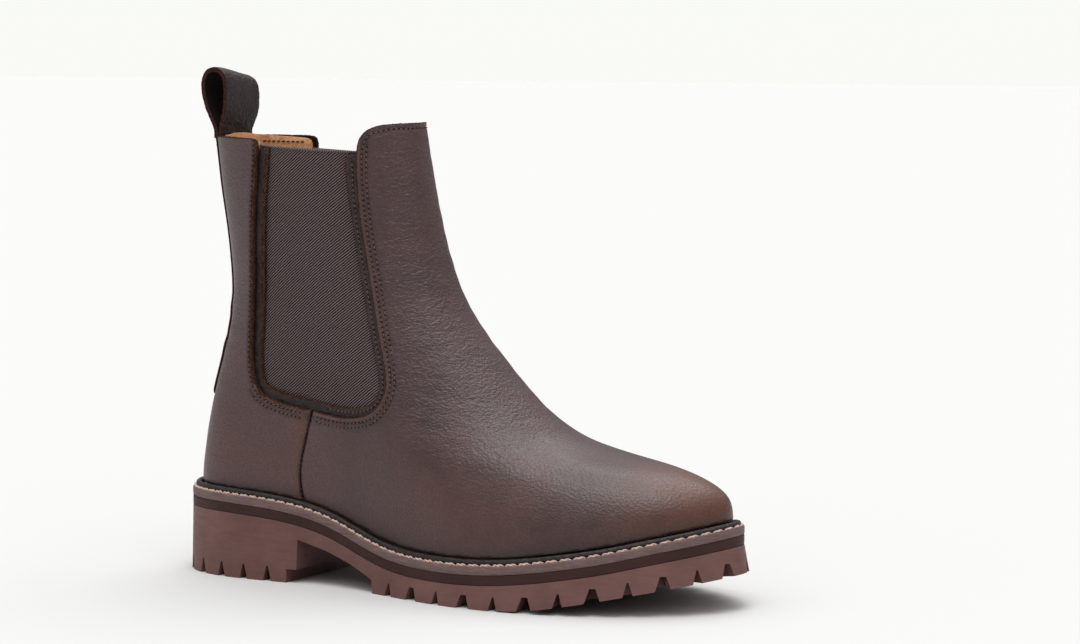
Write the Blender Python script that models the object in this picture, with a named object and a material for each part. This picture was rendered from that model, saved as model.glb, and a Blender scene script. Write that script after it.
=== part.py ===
"""Chelsea boot for the right foot: a lug sole, a welted sole stack and a leather upper with elastic gores.

Lengths are in millimetres until a mesh is made. X runs from heel to toe, Z is up and -Y is the outer side.
"""

import math

import bmesh
import bpy
import numpy as np
from mathutils import Vector, geometry

MM = 0.001
BOOT = "chelsea_boot"
LATERAL, MEDIAL = -1, 1

# Sole outline, heel to toe, as (x, half width) on each side. The toe tip leans inwards.
LENGTH = 288.0
TOE_TIP_Y = 6.0
OUTER_EDGE = [
    (-141, 15), (-131, 27.5), (-115, 34.5), (-95, 36.5), (-70, 35.5), (-45, 35.5), (-20, 40.5),
    (5, 47.5), (25, 51.5), (45, 52.5), (68, 50.5), (90, 45), (108, 37), (122, 28), (134, 16.5), (142, 3),
]
INNER_EDGE = [
    (-141, 15), (-132, 27), (-117, 34), (-98, 36), (-75, 34.5), (-50, 33), (-25, 33), (0, 37.5),
    (25, 44.5), (50, 51), (70, 53), (90, 50.5), (108, 44), (124, 34.5), (136, 24), (142.5, 14),
]

# Rise of the tread towards the toe, and height of the outsole's top along the boot.
TOE_SPRING_START, TOE_SPRING_SLOPE, TOE_SPRING_EASE = 63.5, 0.205, 8.0
OUTSOLE_TOP = [
    (-144, 31), (-95, 30.2), (-66, 26.9), (-50, 22.9), (-33, 17), (-13, 11.8), (6, 10.1), (27, 10), (44, 10.7),
    (64, 12.7), (83, 15.6), (99, 18.5), (113, 21.7), (129, 25.3), (144, 28.6),
]
GAP = 0.3
MIDSOLE_THICKNESS = 4.3
WELT_THICKNESS = 4.1
WELT_INSET = 5.0
HEEL_FLARE, TOE_FLARE = 0.7, 2.3
TREAD_DEPTH = 6.0
HEEL_TREAD_DEPTH = 7.2
FOREFOOT_START, FOREFOOT_PITCH = -11.0, 15.5
HEEL_START, HEEL_PITCH = -83.5, 13.2
WIDE_NOTCH = (2.9, 1.2, 17.0)
NARROW_NOTCH = (1.8, 0.25, 10.0)
BELOW_GROUND = 3.0
BEAD_RADIUS = 1.35
THREAD_RADIUS = 0.45

# Arch between the heel's breast and the first lug, in side view.
ARCH = [(-73, -6), (-73, 6.4), (-67.5, 6.4), (-67, 20.8), (-50, 16.4), (-33, 10.6), (-22.5, 6.2), (-20.5, -6)]

# Rings of the upper's outer skin: (t, back x, back z, front x, front z, half width, how much it is foot shaped).
RINGS = [
    (0, -139.0, 40.2, 139.0, 37.6, 47.0, 1.0),
    (4, -139.0, 44.0, 138.8, 41.8, 47.2, 1.0),
    (14, -138.2, 54.0, 136.6, 49.6, 46.6, 0.97),
    (28, -136.2, 69.0, 126.0, 56.9, 44.6, 0.86),
    (44, -132.6, 86.0, 106.5, 62.5, 41.2, 0.66),
    (60, -127.8, 103.0, 78.5, 67.3, 38.2, 0.45),
    (76, -123.8, 118.0, 55.5, 76.3, 35.8, 0.26),
    (92, -121.8, 133.0, 37.0, 91.0, 33.6, 0.12),
    (108, -122.2, 147.0, 19.5, 109.0, 31.8, 0.04),
    (126, -124.4, 165.0, 2.5, 131.0, 30.4, 0.0),
    (147, -127.6, 184.0, -9.0, 159.0, 29.2, 0.0),
    (163, -129.6, 199.0, -14.5, 183.0, 28.4, 0.0),
    (178, -131.2, 212.0, -19.2, 209.0, 27.8, 0.0),
    (192, -132.4, 226.0, -22.4, 233.0, 27.4, 0.0),
]

# Side-view outlines on the skin, as (x, z).
GORE_OPENING = [
    (-94.7, 222), (-94.7, 208), (-96.7, 180), (-98.2, 145), (-98.7, 110), (-97.2, 98), (-93, 89.5), (-86, 86),
    (-76, 83.6), (-62, 81.6), (-46, 79.6), (-33, 80.6), (-23.4, 84.8), (-18.8, 92.4), (-19.2, 101), (-23.4, 114.5),
    (-30.5, 139), (-37.8, 170), (-41, 196), (-41, 222),
]
SIDE_SEAM = [(-62.5, 81.7), (-64.5, 74), (-67, 64), (-69, 55), (-69, 48), (-67.5, 38.5)]
COLLAR_BACK_Z = 208.5
GORE_TOP_REAR, GORE_TOP_FRONT = 205.0, 203.0
TAB_TOP = [(-41, 206), (-39.5, 210.5), (-35.5, 214), (-28, 216), (-20.5, 216.5)]
FLEX_Z = 118.0
FACING_WIDTH = 4.4
FACING_TUCK = 3.0

UPPER_THICKNESS = 1.9
FACING_DEPTH, FACING_THICKNESS = 2.45, 0.8
GORE_DEPTH, GORE_THICKNESS = 3.6, 1.0
LINING_DEPTH, LINING_THICKNESS = 5.1, 0.9
SHALLOW_LINING, TAIL_LINING = 2.7, 6.4
COUNTER_DEPTH, COUNTER_THICKNESS = 2.8, 1.5
PUFF_DEPTH, PUFF_THICKNESS = 2.7, 1.2
TAIL_DEPTH, TAIL_THICKNESS = 2.5, 3.3
BACKSTAY_HEIGHT, BACKSTAY_THICKNESS = 1.35, 1.0
BACKSTAY_FOOT_Z = 82.0
COUNTER_LOOP = [(0.66, 5), (1.34, 5), (1.30, 26), (1.16, 46), (0.84, 46), (0.70, 26)]
PUFF_LOOP = [(-0.24, 5), (0.24, 5), (0.20, 26), (0.08, 44), (-0.08, 44), (-0.20, 26)]
PANEL_SPACING = 8.0

# Pull loop: a strap folded over and sewn between the back of the upper and its lining.
LOOP_WIDTH = 25.0
LOOP_THICKNESS = 2.3
LOOP_SAG = 0.09
LOOP_HINGE = (-127.0, 211.7)
LOOP_TAIL_Z = 194.0
LOOP_CENTRELINE = [
    (-1.3, -0.6), (-2.6, 4.8), (-5.2, 10.5), (-7.2, 17), (-7.6, 22.8), (-5.6, 27.2), (-1.4, 28.8), (2.8, 27),
    (4.6, 22), (4.2, 15.5), (2.8, 9), (1.3, 3), (1.3, -0.6),
]

OUTSOLE_COLOUR = (0.150, 0.078, 0.064)
MIDSOLE_COLOUR = (0.060, 0.022, 0.018)
WELT_COLOUR = (0.130, 0.092, 0.078)
THREAD_COLOUR = (0.56, 0.37, 0.29)
LEATHER_COLOUR = (0.075, 0.050, 0.044)
EDGE_COLOUR = (0.12, 0.055, 0.030)
GORE_COLOUR = (0.060, 0.050, 0.046)
LINING_COLOUR = (0.45, 0.20, 0.08)
STEEL_COLOUR = (0.50, 0.50, 0.52)
CORK_COLOUR = (0.40, 0.22, 0.10)
BOARD_COLOUR = (0.36, 0.24, 0.14)
FOAM_COLOUR = (0.30, 0.28, 0.25)


def clear_scene():
    for obj in list(bpy.data.objects):
        bpy.data.objects.remove(obj)
    for collection in list(bpy.data.collections):
        bpy.data.collections.remove(collection)


def new_collection(name, helper=False):
    collection = bpy.data.collections.new(name)
    bpy.context.scene.collection.children.link(collection)
    collection.hide_render = helper
    return collection


def material(name, colour, roughness, metallic=0.0):
    made = bpy.data.materials.new(name)
    made.use_nodes = True
    shader = made.node_tree.nodes["Principled BSDF"]
    shader.inputs["Base Color"].default_value = (*colour, 1.0)
    shader.inputs["Roughness"].default_value = roughness
    shader.inputs["Metallic"].default_value = metallic
    made.diffuse_color = (*colour, 1.0)
    return made


def cubic(knots, values, period=None):
    """A cubic spline through the values, natural at its ends or periodic."""
    knots = np.asarray(knots, float)
    values = np.asarray(values, float)
    if period is None:
        inner = knots
        height = values
    else:
        inner = np.concatenate([knots[-4:] - period, knots, knots[:4] + period])
        height = np.concatenate([values[-4:], values, values[:4]])
    count = len(inner)
    step = np.diff(inner)
    slope = np.diff(height, axis=0) / (step if height.ndim == 1 else step[:, None])
    system = np.eye(count)
    right = np.zeros_like(height)
    for i in range(1, count - 1):
        system[i, i - 1:i + 2] = step[i - 1], 2 * (step[i - 1] + step[i]), step[i]
        right[i] = 6 * (slope[i] - slope[i - 1])
    bend = np.linalg.solve(system, right)

    def at(where):
        where = np.asarray(where, float)
        if period is not None:
            where = (where - knots[0]) % period + knots[0]
        i = np.clip(np.searchsorted(inner, where) - 1, 0, count - 2)
        a = inner[i + 1] - where
        b = where - inner[i]
        h = step[i]
        if height.ndim > 1:
            a, b, h = a[..., None], b[..., None], h[..., None]
        curve = (bend[i] * a**3 + bend[i + 1] * b**3) / (6 * h)
        return curve + (height[i] / h - bend[i] * h / 6) * a + (height[i + 1] / h - bend[i + 1] * h / 6) * b

    return at


def ease(value):
    value = np.clip(value, 0.0, 1.0)
    return value * value * (3 - 2 * value)


def profile(points):
    xs, zs = zip(*points)
    return cubic(xs, zs)


def outline_curve():
    """The sole's edge as a point for each c: -1 at the heel, through the outer side to the toe at 0, to 1."""
    half = LENGTH / 2
    points = [(-half, 0.0)]
    points += [(x, -y) for x, y in OUTER_EDGE]
    points += [(half, TOE_TIP_Y)]
    points += [(x, y) for x, y in reversed(INNER_EDGE)]
    turn = [math.acos(max(-1.0, min(1.0, x / half))) / math.pi for x, _ in points]
    toe = len(OUTER_EDGE) + 1
    turn = [-c for c in turn[:toe]] + turn[toe:]
    return cubic(turn, points, period=2.0)


EDGE = outline_curve()
TOP_Z = profile(OUTSOLE_TOP)


def tread_z(x):
    rise = np.logaddexp(0.0, (np.asarray(x) - TOE_SPRING_START) / TOE_SPRING_EASE)
    return TOE_SPRING_SLOPE * TOE_SPRING_EASE * rise


def sole_edge(count, inset=0.0):
    """Points round the sole's edge, moved inwards by inset."""
    c = np.linspace(-1, 1, count, endpoint=False)
    ahead = EDGE(c + 0.002) - EDGE(c - 0.002)
    ahead /= np.linalg.norm(ahead, axis=1)[:, None]
    inward = np.stack([-ahead[:, 1], ahead[:, 0]], axis=1)
    return EDGE(c) + inward * np.broadcast_to(inset, c.shape)[:, None]


def midsole_bottom(x):
    return TOP_Z(x) + GAP


def midsole_top(x):
    return midsole_bottom(x) + MIDSOLE_THICKNESS


def welt_bottom(x):
    return midsole_top(x) + GAP


def welt_top(x):
    return welt_bottom(x) + WELT_THICKNESS


def upper_rings():
    """Control points of the upper's skin, one ring for each t."""
    c = np.linspace(-1, 1, 49)[:-1]
    foot = sole_edge(48, WELT_INSET)
    foot_x = (foot[:, 0] - foot[:, 0].min()) / np.ptp(foot[:, 0])
    foot_y = foot[:, 1] / RINGS[0][5]
    oval_x = (1 + np.cos(math.pi * c)) / 2
    oval_y = np.sign(c) * np.abs(np.sin(math.pi * c)) ** np.where(np.abs(c) > 0.5, 0.78, 0.9)
    line = welt_top(foot[:, 0])
    back_line, front_line = line[foot_x.argmin()], line[foot_x.argmax()]
    rings = []
    for _, back_x, back_z, front_x, front_z, width, footness in RINGS:
        along = footness * foot_x + (1 - footness) * oval_x
        side = width * (footness * foot_y + (1 - footness) * oval_y)
        dip = np.interp(along, np.sort(foot_x), line[np.argsort(foot_x)])
        dip -= back_line + (front_line - back_line) * along
        height = back_z + (front_z - back_z) * along + footness**1.5 * dip
        rings.append(np.stack([back_x + (front_x - back_x) * along, side, height], axis=1))
    return c, np.array(rings)


def skin_function():
    c, rings = upper_rings()
    across = cubic([ring[0] for ring in RINGS], rings.reshape(len(RINGS), -1))

    def skin(turn, t):
        turn, t = np.broadcast_arrays(np.asarray(turn, float), np.asarray(t, float))
        flat_turn, flat_t = turn.ravel(), t.ravel()
        points = np.empty((len(flat_t), 3))
        ring = across(flat_t).reshape(len(flat_t), len(c), 3)
        where = ((flat_turn + 1) % 2) / 2 * len(c)
        i = np.floor(where).astype(int)
        f = (where - i)[:, None]
        rows = np.arange(len(flat_t))
        p0, p1, p2, p3 = (ring[rows, (i + k) % len(c)] for k in (-1, 0, 1, 2))
        points = p1 + 0.5 * f * (p2 - p0 + f * (2 * p0 - 5 * p1 + 4 * p2 - p3 + f * (3 * (p1 - p2) + p3 - p0)))
        return points.reshape(*turn.shape, 3)

    return skin


SKIN = skin_function()


def skin_offset(turn, t, depth):
    """Points below the skin by depth, or above it where depth is negative."""
    turn, t = np.asarray(turn, float), np.asarray(t, float)
    around = SKIN(turn + 0.004, t) - SKIN(turn - 0.004, t)
    up = SKIN(turn, t + 0.5) - SKIN(turn, t - 0.5)
    out = np.cross(around, up)
    out /= np.linalg.norm(out, axis=-1)[..., None]
    return SKIN(turn, t) - out * np.asarray(depth)[..., None]


def locate(side, points):
    """The (c, t) on one side of the skin for each side-view point (x, z)."""
    turn = np.linspace(0.0, 1.0, 121)
    t = np.linspace(-4.0, 190.0, 195)
    grid_c, grid_t = np.meshgrid(turn, t, indexing="ij")
    seen = SKIN(side * grid_c, grid_t)[..., [0, 2]]
    found = []
    for target in np.asarray(points, float):
        near = np.unravel_index(np.argmin(((seen - target) ** 2).sum(-1)), grid_c.shape)
        c, height = grid_c[near], grid_t[near]
        for _ in range(8):
            here = SKIN(side * c, height)[[0, 2]]
            by_c = (SKIN(side * (c + 0.002), height)[[0, 2]] - here) / 0.002
            by_t = (SKIN(side * c, height + 0.2)[[0, 2]] - here) / 0.2
            system = np.stack([by_c, by_t], axis=1)
            if abs(np.linalg.det(system)) < 1e-3:
                break
            step = np.linalg.solve(system, target - here)
            c = min(max(c + float(np.clip(step[0], -0.02, 0.02)), 0.0), 1.0)
            height += float(np.clip(step[1], -2, 2))
        found.append((side * c, height))
    return found


def resample(points, spacing, closed=False):
    """The polyline with points about spacing apart, its own corners kept."""
    points = [np.asarray(p, float) for p in points]
    if closed:
        points = points + points[:1]
    made = [points[0]]
    for start, end in zip(points, points[1:]):
        pieces = max(1, round(float(np.linalg.norm(end - start)) / spacing))
        made += [start + (end - start) * i / pieces for i in range(1, pieces + 1)]
    return made[:-1] if closed else made


def smooth_line(points, count):
    """A smooth curve through the points, with count points at equal steps."""
    points = np.asarray(points, float)
    length = np.concatenate([[0], np.cumsum(np.linalg.norm(np.diff(points, axis=0), axis=1))])
    return cubic(length, points)(np.linspace(0, length[-1], count))


def offset_line(points, distance):
    """The polyline moved to its right by distance."""
    points = np.asarray(points, float)
    ahead = np.gradient(points, axis=0)
    ahead /= np.linalg.norm(ahead, axis=1)[:, None]
    return points + np.stack([ahead[:, 1], -ahead[:, 0]], axis=1) * distance


def triangulate(loops, spacing):
    """A triangle mesh of the flat region that the loops bound, with inner points about spacing apart."""
    points, edges = [], []
    for loop in loops:
        first = len(points)
        points += [tuple(map(float, p)) for p in loop]
        edges += [(first + i, first + (i + 1) % len(loop)) for i in range(len(loop))]
    border = np.array(points)
    low, high = border.min(axis=0), border.max(axis=0)
    rows = int((high[1] - low[1]) / (spacing * 0.87)) + 1
    for row in range(1, rows + 1):
        y = low[1] + row * spacing * 0.87
        shift = spacing / 2 if row % 2 else 0.0
        for x in np.arange(low[0] + shift, high[0], spacing):
            if inside((x, y), loops) and ((border - (x, y)) ** 2).sum(axis=1).min() > (0.55 * spacing) ** 2:
                points.append((float(x), float(y)))
    flat = [Vector(p) for p in points]
    verts, _, faces, _, _, _ = geometry.delaunay_2d_cdt(flat, edges, [], 0, 1e-6)
    verts = np.array([tuple(v) for v in verts])
    kept = []
    for face in faces:
        if len(face) == 3 and inside(verts[list(face)].mean(axis=0), loops):
            kept.append(tuple(face))
    return verts, kept


def inside(point, loops):
    crossings = 0
    x, y = point
    for loop in loops:
        a = np.asarray(loop, float)
        b = np.roll(a, -1, axis=0)
        spans = (a[:, 1] > y) != (b[:, 1] > y)
        if spans.any():
            a, b = a[spans], b[spans]
            crossings += int((a[:, 0] + (y - a[:, 1]) * (b[:, 0] - a[:, 0]) / (b[:, 1] - a[:, 1]) > x).sum())
    return crossings % 2 == 1


def add_object(name, verts, faces, colour, collection, roughness=0.6, metallic=0.0):
    mesh = bpy.data.meshes.new(name)
    mesh.from_pydata([tuple(v) for v in np.asarray(verts) * MM], [], faces)
    shape = bmesh.new()
    shape.from_mesh(mesh)
    bmesh.ops.recalc_face_normals(shape, faces=shape.faces)
    shape.to_mesh(mesh)
    shape.free()
    obj = bpy.data.objects.new(name, mesh)
    obj.data.materials.append(material(name, colour, roughness, metallic))
    collection.objects.link(obj)
    return obj


def sandwich(faces, count, loops_edges):
    """Faces of a closed solid from two copies of a triangle mesh and a wall along its border."""
    made = list(faces)
    made += [tuple(count + i for i in reversed(face)) for face in faces]
    made += [(a, b, count + b, count + a) for a, b in loops_edges]
    return made


def border_edges(faces):
    seen = {}
    for face in faces:
        for a, b in zip(face, face[1:] + face[:1]):
            if (b, a) in seen:
                del seen[(b, a)]
            else:
                seen[(a, b)] = True
    return [(b, a) for a, b in seen]


def panel(name, loops, depth, thickness, colour, collection, spacing=PANEL_SPACING):
    """A sheet on the skin. Its loops are lists of (c, t), and depth may be a number or a function of them."""
    scale = np.array([150.0, 1.0])
    scaled = [[np.asarray(p) * scale for p in loop] for loop in loops]
    scaled = [resample(loop, spacing, closed=True) for loop in scaled]
    verts, faces = triangulate(scaled, spacing)
    c, t = verts[:, 0] / scale[0], verts[:, 1]
    down = depth(c, t) if callable(depth) else np.full(len(c), float(depth))
    top = skin_offset(c, t, down)
    bottom = skin_offset(c, t, down + thickness)
    solid = sandwich(faces, len(verts), border_edges(faces))
    return add_object(name, np.concatenate([top, bottom]), solid, colour, collection)


def slab(name, loops, low, high, colour, collection, spacing=14.0, taper=None, roughness=0.6, metallic=0.0):
    """A flat-ish solid over the floor plan in loops, between two heights that depend on x."""
    verts, faces = triangulate(loops, spacing)
    top = np.column_stack([verts, high(verts[:, 0])])
    bottom = np.column_stack([verts, low(verts[:, 0])])
    if taper is not None:
        bottom[:len(taper), :2] = taper
    solid = sandwich(faces, len(verts), border_edges(faces))
    return add_object(name, np.concatenate([top, bottom]), solid, colour, collection, roughness, metallic)


def prism(profile_points, low_y, high_y):
    """Vertices and faces of a side-view profile pushed along Y."""
    count = len(profile_points)
    verts = [(x, low_y, z) for x, z in profile_points] + [(x, high_y, z) for x, z in profile_points]
    faces = [tuple(range(count)), tuple(reversed(range(count, 2 * count)))]
    faces += [(i, count + i, count + (i + 1) % count, (i + 1) % count) for i in range(count)]
    return verts, faces


def notch(centre, inward, along, ground_z, top_z, mouth, root, reach):
    """A lug gap as a wedge. Mouth and root are half its widths at the ground and at its top."""
    spread = mouth + (mouth - root) * BELOW_GROUND / (top_z - ground_z)
    low_z = ground_z - BELOW_GROUND
    verts = []
    for push in (-4.0, reach):
        for half, z in ((-spread, low_z), (spread, low_z), (root, top_z), (-root, top_z)):
            x = centre[0] + inward[0] * push + along[0] * half
            y = centre[1] + inward[1] * push + along[1] * half
            verts.append((x, y, z))
    faces = [(0, 1, 2, 3), (7, 6, 5, 4), (0, 4, 5, 1), (1, 5, 6, 2), (2, 6, 7, 3), (3, 7, 4, 0)]
    return verts, faces


def edge_stations(first_x, pitch, through_toe):
    """Places at even steps of about pitch along the sole's edge, between the two sides at first_x."""
    c = np.linspace(-1, 1, 4001)
    if not through_toe:
        c = np.linspace(0, 2, 4001)
    edge = EDGE(c)
    kept = c[edge[:, 0] >= first_x] if through_toe else c[edge[:, 0] <= first_x]
    step = np.linalg.norm(np.diff(EDGE(kept), axis=0), axis=1)
    travelled = np.concatenate([[0], np.cumsum(step)])
    count = round(travelled[-1] / pitch)
    return np.interp(np.linspace(0, travelled[-1], count + 1), travelled, kept)


def edge_frame(c):
    """Point, inward direction and direction along the sole's edge at c."""
    along = EDGE(c + 0.002) - EDGE(c - 0.002)
    along /= np.linalg.norm(along)
    return EDGE(c), np.array([-along[1], along[0]]), along


def tread_notches():
    """Gaps between the lugs round the forefoot, wide ones and narrow ones in turn, and narrow ones round the heel."""
    made = []
    for i, c in enumerate(edge_stations(FOREFOOT_START, FOREFOOT_PITCH, True)):
        point, inward, along = edge_frame(c)
        mouth, root, reach = WIDE_NOTCH if i % 2 else NARROW_NOTCH
        ground = float(tread_z(point[0]))
        made.append(notch(point, inward, along, ground, ground + TREAD_DEPTH, mouth, root, reach))
    for c in edge_stations(HEEL_START, HEEL_PITCH, False):
        point, inward, along = edge_frame(c)
        mouth, root, reach = NARROW_NOTCH
        made.append(notch(point, inward, along, 0.0, HEEL_TREAD_DEPTH, mouth, root, reach))
    return made


def join_solids(name, solids, collection):
    verts, faces = [], []
    for some_verts, some_faces in solids:
        first = len(verts)
        verts += some_verts
        faces += [tuple(first + i for i in face) for face in some_faces]
    return add_object(name, verts, faces, OUTSOLE_COLOUR, collection)


def cut(obj, cutter):
    cutter.display_type = "WIRE"
    cutter.hide_render = True
    modifier = obj.modifiers.new("cut", "BOOLEAN")
    modifier.operation = "DIFFERENCE"
    modifier.solver = "EXACT"
    modifier.use_self = True
    modifier.object = cutter


def tread_grooves():
    """Grooves across the middle of the tread, which leave rows of inner lugs."""
    made = []
    for x in np.arange(-3, 122, 15.5):
        ground = float(tread_z(x))
        width = 26.0 if x < 90 else 18.0
        made.append(notch((x, -width), (0, 1), (1, 0), ground, ground + 4, 2.2, 1.6, 2 * width))
    for x in (-126.0, -112.0, -98.0):
        made.append(notch((x, -16), (0, 1), (1, 0), 0.0, 4.5, 2.2, 1.6, 32))
    return made


def make_outsole(parts, cutters):
    edge = sole_edge(150)
    forward = ease(0.5 + edge[:, 0] / LENGTH)
    flared = sole_edge(150, -HEEL_FLARE - (TOE_FLARE - HEEL_FLARE) * forward)
    outsole = slab("outsole", [list(edge)], tread_z, TOP_Z, OUTSOLE_COLOUR, parts, 13.0, flared, 0.55)
    cut(outsole, join_solids("outsole_arch_cutter", [prism(ARCH, -80, 80)], cutters))
    cut(outsole, join_solids("outsole_lug_cutter", tread_notches(), cutters))
    cut(outsole, join_solids("outsole_groove_cutter", tread_grooves(), cutters))
    return outsole


def make_sole_stack(parts):
    edge = list(sole_edge(120))
    slab("midsole", [edge], midsole_bottom, midsole_top, MIDSOLE_COLOUR, parts)
    inner = list(sole_edge(120, 15.0))
    slab("welt", [edge, inner], welt_bottom, welt_top, WELT_COLOUR, parts, 9.0)
    seat = list(sole_edge(90, 16.0))
    slab("bottom_filler", [seat], lambda x: midsole_top(x) + GAP, lambda x: midsole_top(x) + 2.2, CORK_COLOUR, parts)
    board = list(sole_edge(90, 9.0))
    slab("insole_board", [board], lambda x: welt_top(x) + GAP, lambda x: welt_top(x) + 2.2, BOARD_COLOUR, parts)
    shank = [(-100, -6), (-100, 6), (-20, 8), (10, 6), (10, -8), (-20, -10)]
    shank = resample(shank, 12, closed=True)
    slab("shank", [shank], lambda x: midsole_top(x) + 2.5, lambda x: midsole_top(x) + 3.9, STEEL_COLOUR, parts,
         12.0, None, 0.35, 0.9)
    foam = list(sole_edge(90, 12.5))
    slab("footbed_foam", [foam], lambda x: welt_top(x) + 2.5, lambda x: welt_top(x) + 5.5, FOAM_COLOUR, parts)
    slab("sock_liner", [foam], lambda x: welt_top(x) + 5.8, lambda x: welt_top(x) + 6.8, LINING_COLOUR, parts)


def tube(name, points, radius, colour, collection, sides=2):
    """A closed ring of round cord through the points."""
    curve = bpy.data.curves.new(name, "CURVE")
    curve.dimensions = "3D"
    curve.bevel_depth = radius * MM
    curve.bevel_resolution = sides
    spline = curve.splines.new("POLY")
    spline.points.add(len(points) - 1)
    for slot, point in zip(spline.points, points):
        slot.co = (*(float(v) * MM for v in point), 1.0)
    spline.use_cyclic_u = True
    obj = bpy.data.objects.new(name, curve)
    curve.materials.append(material(name, colour, 0.7))
    collection.objects.link(obj)
    return obj


def make_welt_trim(parts):
    edge = sole_edge(140, WELT_INSET - BEAD_RADIUS - 0.8)
    height = welt_top(edge[:, 0]) + BEAD_RADIUS + GAP
    tube("rand_bead", np.column_stack([edge, height]), BEAD_RADIUS, WELT_COLOUR, parts, 1)
    edge = sole_edge(120, 1.1)
    height = welt_top(edge[:, 0]) + THREAD_RADIUS + 0.15
    tube("welt_stitching", np.column_stack([edge, height]), THREAD_RADIUS, THREAD_COLOUR, parts, 1)


def gore_line(count=60):
    """The edge of the outer leather round the gore: up at the back, round its foot and up at the front."""
    return smooth_line(GORE_OPENING, count)


def vamp_loop(inset=0.0, feather=0.0, top=0.0):
    """Outline of the front panel in (c, t): both sides of the foot, the instep and the front of the shaft."""
    half = []
    for side in (LATERAL, MEDIAL):
        line = gore_line()
        line = offset_line(line, inset)
        first = int(np.argmin(np.abs(line[:, 0] - SIDE_SEAM[0][0]) + (line[:, 1] > 100) * 500))
        edge = [tuple(p) for p in line[first + 1:] if p[1] < 205 or p[0] < -60]
        seam = [(x + 0.3 + inset, z) for x, z in SIDE_SEAM[::-1]]
        tab = [(x + inset, z - top) for x, z in TAB_TOP[:-1]]
        outline = locate(side, seam + edge + tab)
        outline[0] = (outline[0][0], feather)
        half.append(outline)
    crown = locate(LATERAL, [(TAB_TOP[-1][0] - 0.5, TAB_TOP[-1][1] - top)])[0][1]
    lateral, medial = half
    return lateral + [(0.0, crown)] + medial[::-1]


def quarter_loop(side, low_z, high_z, inset=0.0, feather=0.0, seam_gap=0.35):
    """Outline of a back panel between two heights, from the centre-back seam to the gore and the side seam."""
    line = offset_line(gore_line(), inset)
    last = int(np.argmin(np.abs(line[:, 0] - SIDE_SEAM[0][0]) + (line[:, 1] > 100) * 500))
    rear = [tuple(p) for p in line[:last] if low_z + 0.5 < p[1] < high_z - 2.5]
    if high_z > 200:
        top = [(rear[0][0] - 2.5, high_z), (rear[0][0], high_z - 2.0)]
    else:
        top = [(float(np.interp(-high_z, -line[:last // 2, 1], line[:last // 2, 0])), high_z)]
    if low_z > 60:
        foot = [(float(np.interp(-low_z, -line[:last // 2, 1], line[:last // 2, 0])), low_z)]
    else:
        foot = [(x - 0.3 - inset, z) for x, z in SIDE_SEAM]
    outline = locate(side, top + rear + foot)
    if low_z <= 60:
        outline[-1] = (outline[-1][0], feather)
    back = side * (1.0 - seam_gap / 150.0)
    bottom_t = feather if low_z <= 60 else height_at_back(low_z)
    return [(back, height_at_back(high_z))] + outline + [(back, bottom_t)]


def height_at_back(z):
    """The t at which the back of the skin reaches a height."""
    t = np.linspace(-4, 190, 389)
    return float(np.interp(z, SKIN(np.ones_like(t), t)[:, 2], t))


def lining_depth(c, t):
    """The lining lies close under the shaft's leather, and deeper behind the gores, the stiffeners and the tail."""
    around = np.abs((np.asarray(c) + 1) % 2 - 1)
    gore = ease((around - 0.17) / 0.08) * ease((0.84 - around) / 0.07)
    foot = ease((112 - np.asarray(t)) / 30)
    tail = ease((around - 0.84) / 0.05) * ease((np.asarray(t) - 138) / 12)
    depth = SHALLOW_LINING + (LINING_DEPTH - SHALLOW_LINING) * np.maximum(gore, foot)
    return np.maximum(depth, SHALLOW_LINING + (TAIL_LINING - SHALLOW_LINING) * tail)


def make_uppers(parts):
    panel("vamp", [vamp_loop(feather=2.0)], 0.0, UPPER_THICKNESS, LEATHER_COLOUR, parts)
    for side, word in ((LATERAL, "lateral"), (MEDIAL, "medial")):
        lower = quarter_loop(side, 38.0, FLEX_Z - 0.6, feather=2.0)
        panel("quarter_" + word, [lower], 0.0, UPPER_THICKNESS, LEATHER_COLOUR, parts)
        upper = quarter_loop(side, FLEX_Z + 0.6, COLLAR_BACK_Z)
        panel("shaft_quarter_" + word, [upper], 0.0, UPPER_THICKNESS, LEATHER_COLOUR, parts)


def make_gores(parts):
    for side, word in ((LATERAL, "lateral"), (MEDIAL, "medial")):
        line = gore_line()
        tucked = offset_line(line, FACING_TUCK)
        visible = offset_line(line, -FACING_WIDTH)
        outer = [tuple(p) for p in tucked if p[1] < 205]
        inner = [tuple(p) for p in visible if p[1] < 202]
        strip = outer + [(outer[-1][0], 205)] + [(inner[-1][0], 205)] + inner[::-1] + [(inner[0][0], 206)]
        strip += [(outer[0][0], 206)]
        panel("gore_facing_" + word, [locate(side, strip)], FACING_DEPTH, FACING_THICKNESS, EDGE_COLOUR, parts, 5.0)
        under = offset_line(line, 1.0)
        web = [tuple(p) for p in under if p[1] < 200]
        web += [(web[-1][0], GORE_TOP_FRONT), (web[0][0], GORE_TOP_REAR)]
        panel("gore_" + word, [locate(side, web)], GORE_DEPTH, GORE_THICKNESS, GORE_COLOUR, parts)


def back_strip(low_z, high_z, half):
    """A strip in (c, t) down the centre of the back."""
    low, high = height_at_back(low_z), height_at_back(high_z)
    return [(1 - half, low), (1 + half, low), (1 + half, high), (1 - half, high)]


def lining_loop(low_z, high_z):
    """The back lining in one piece round the heel or the back of the shaft."""
    lateral = quarter_loop(LATERAL, low_z, high_z, 1.0, 4.6, 0.0)[1:-1]
    medial = quarter_loop(MEDIAL, low_z, high_z, 1.0, 4.6, 0.0)[1:-1]
    return [(c, t) for c, t in medial] + [(2 + c, t) for c, t in lateral[::-1]]


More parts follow.
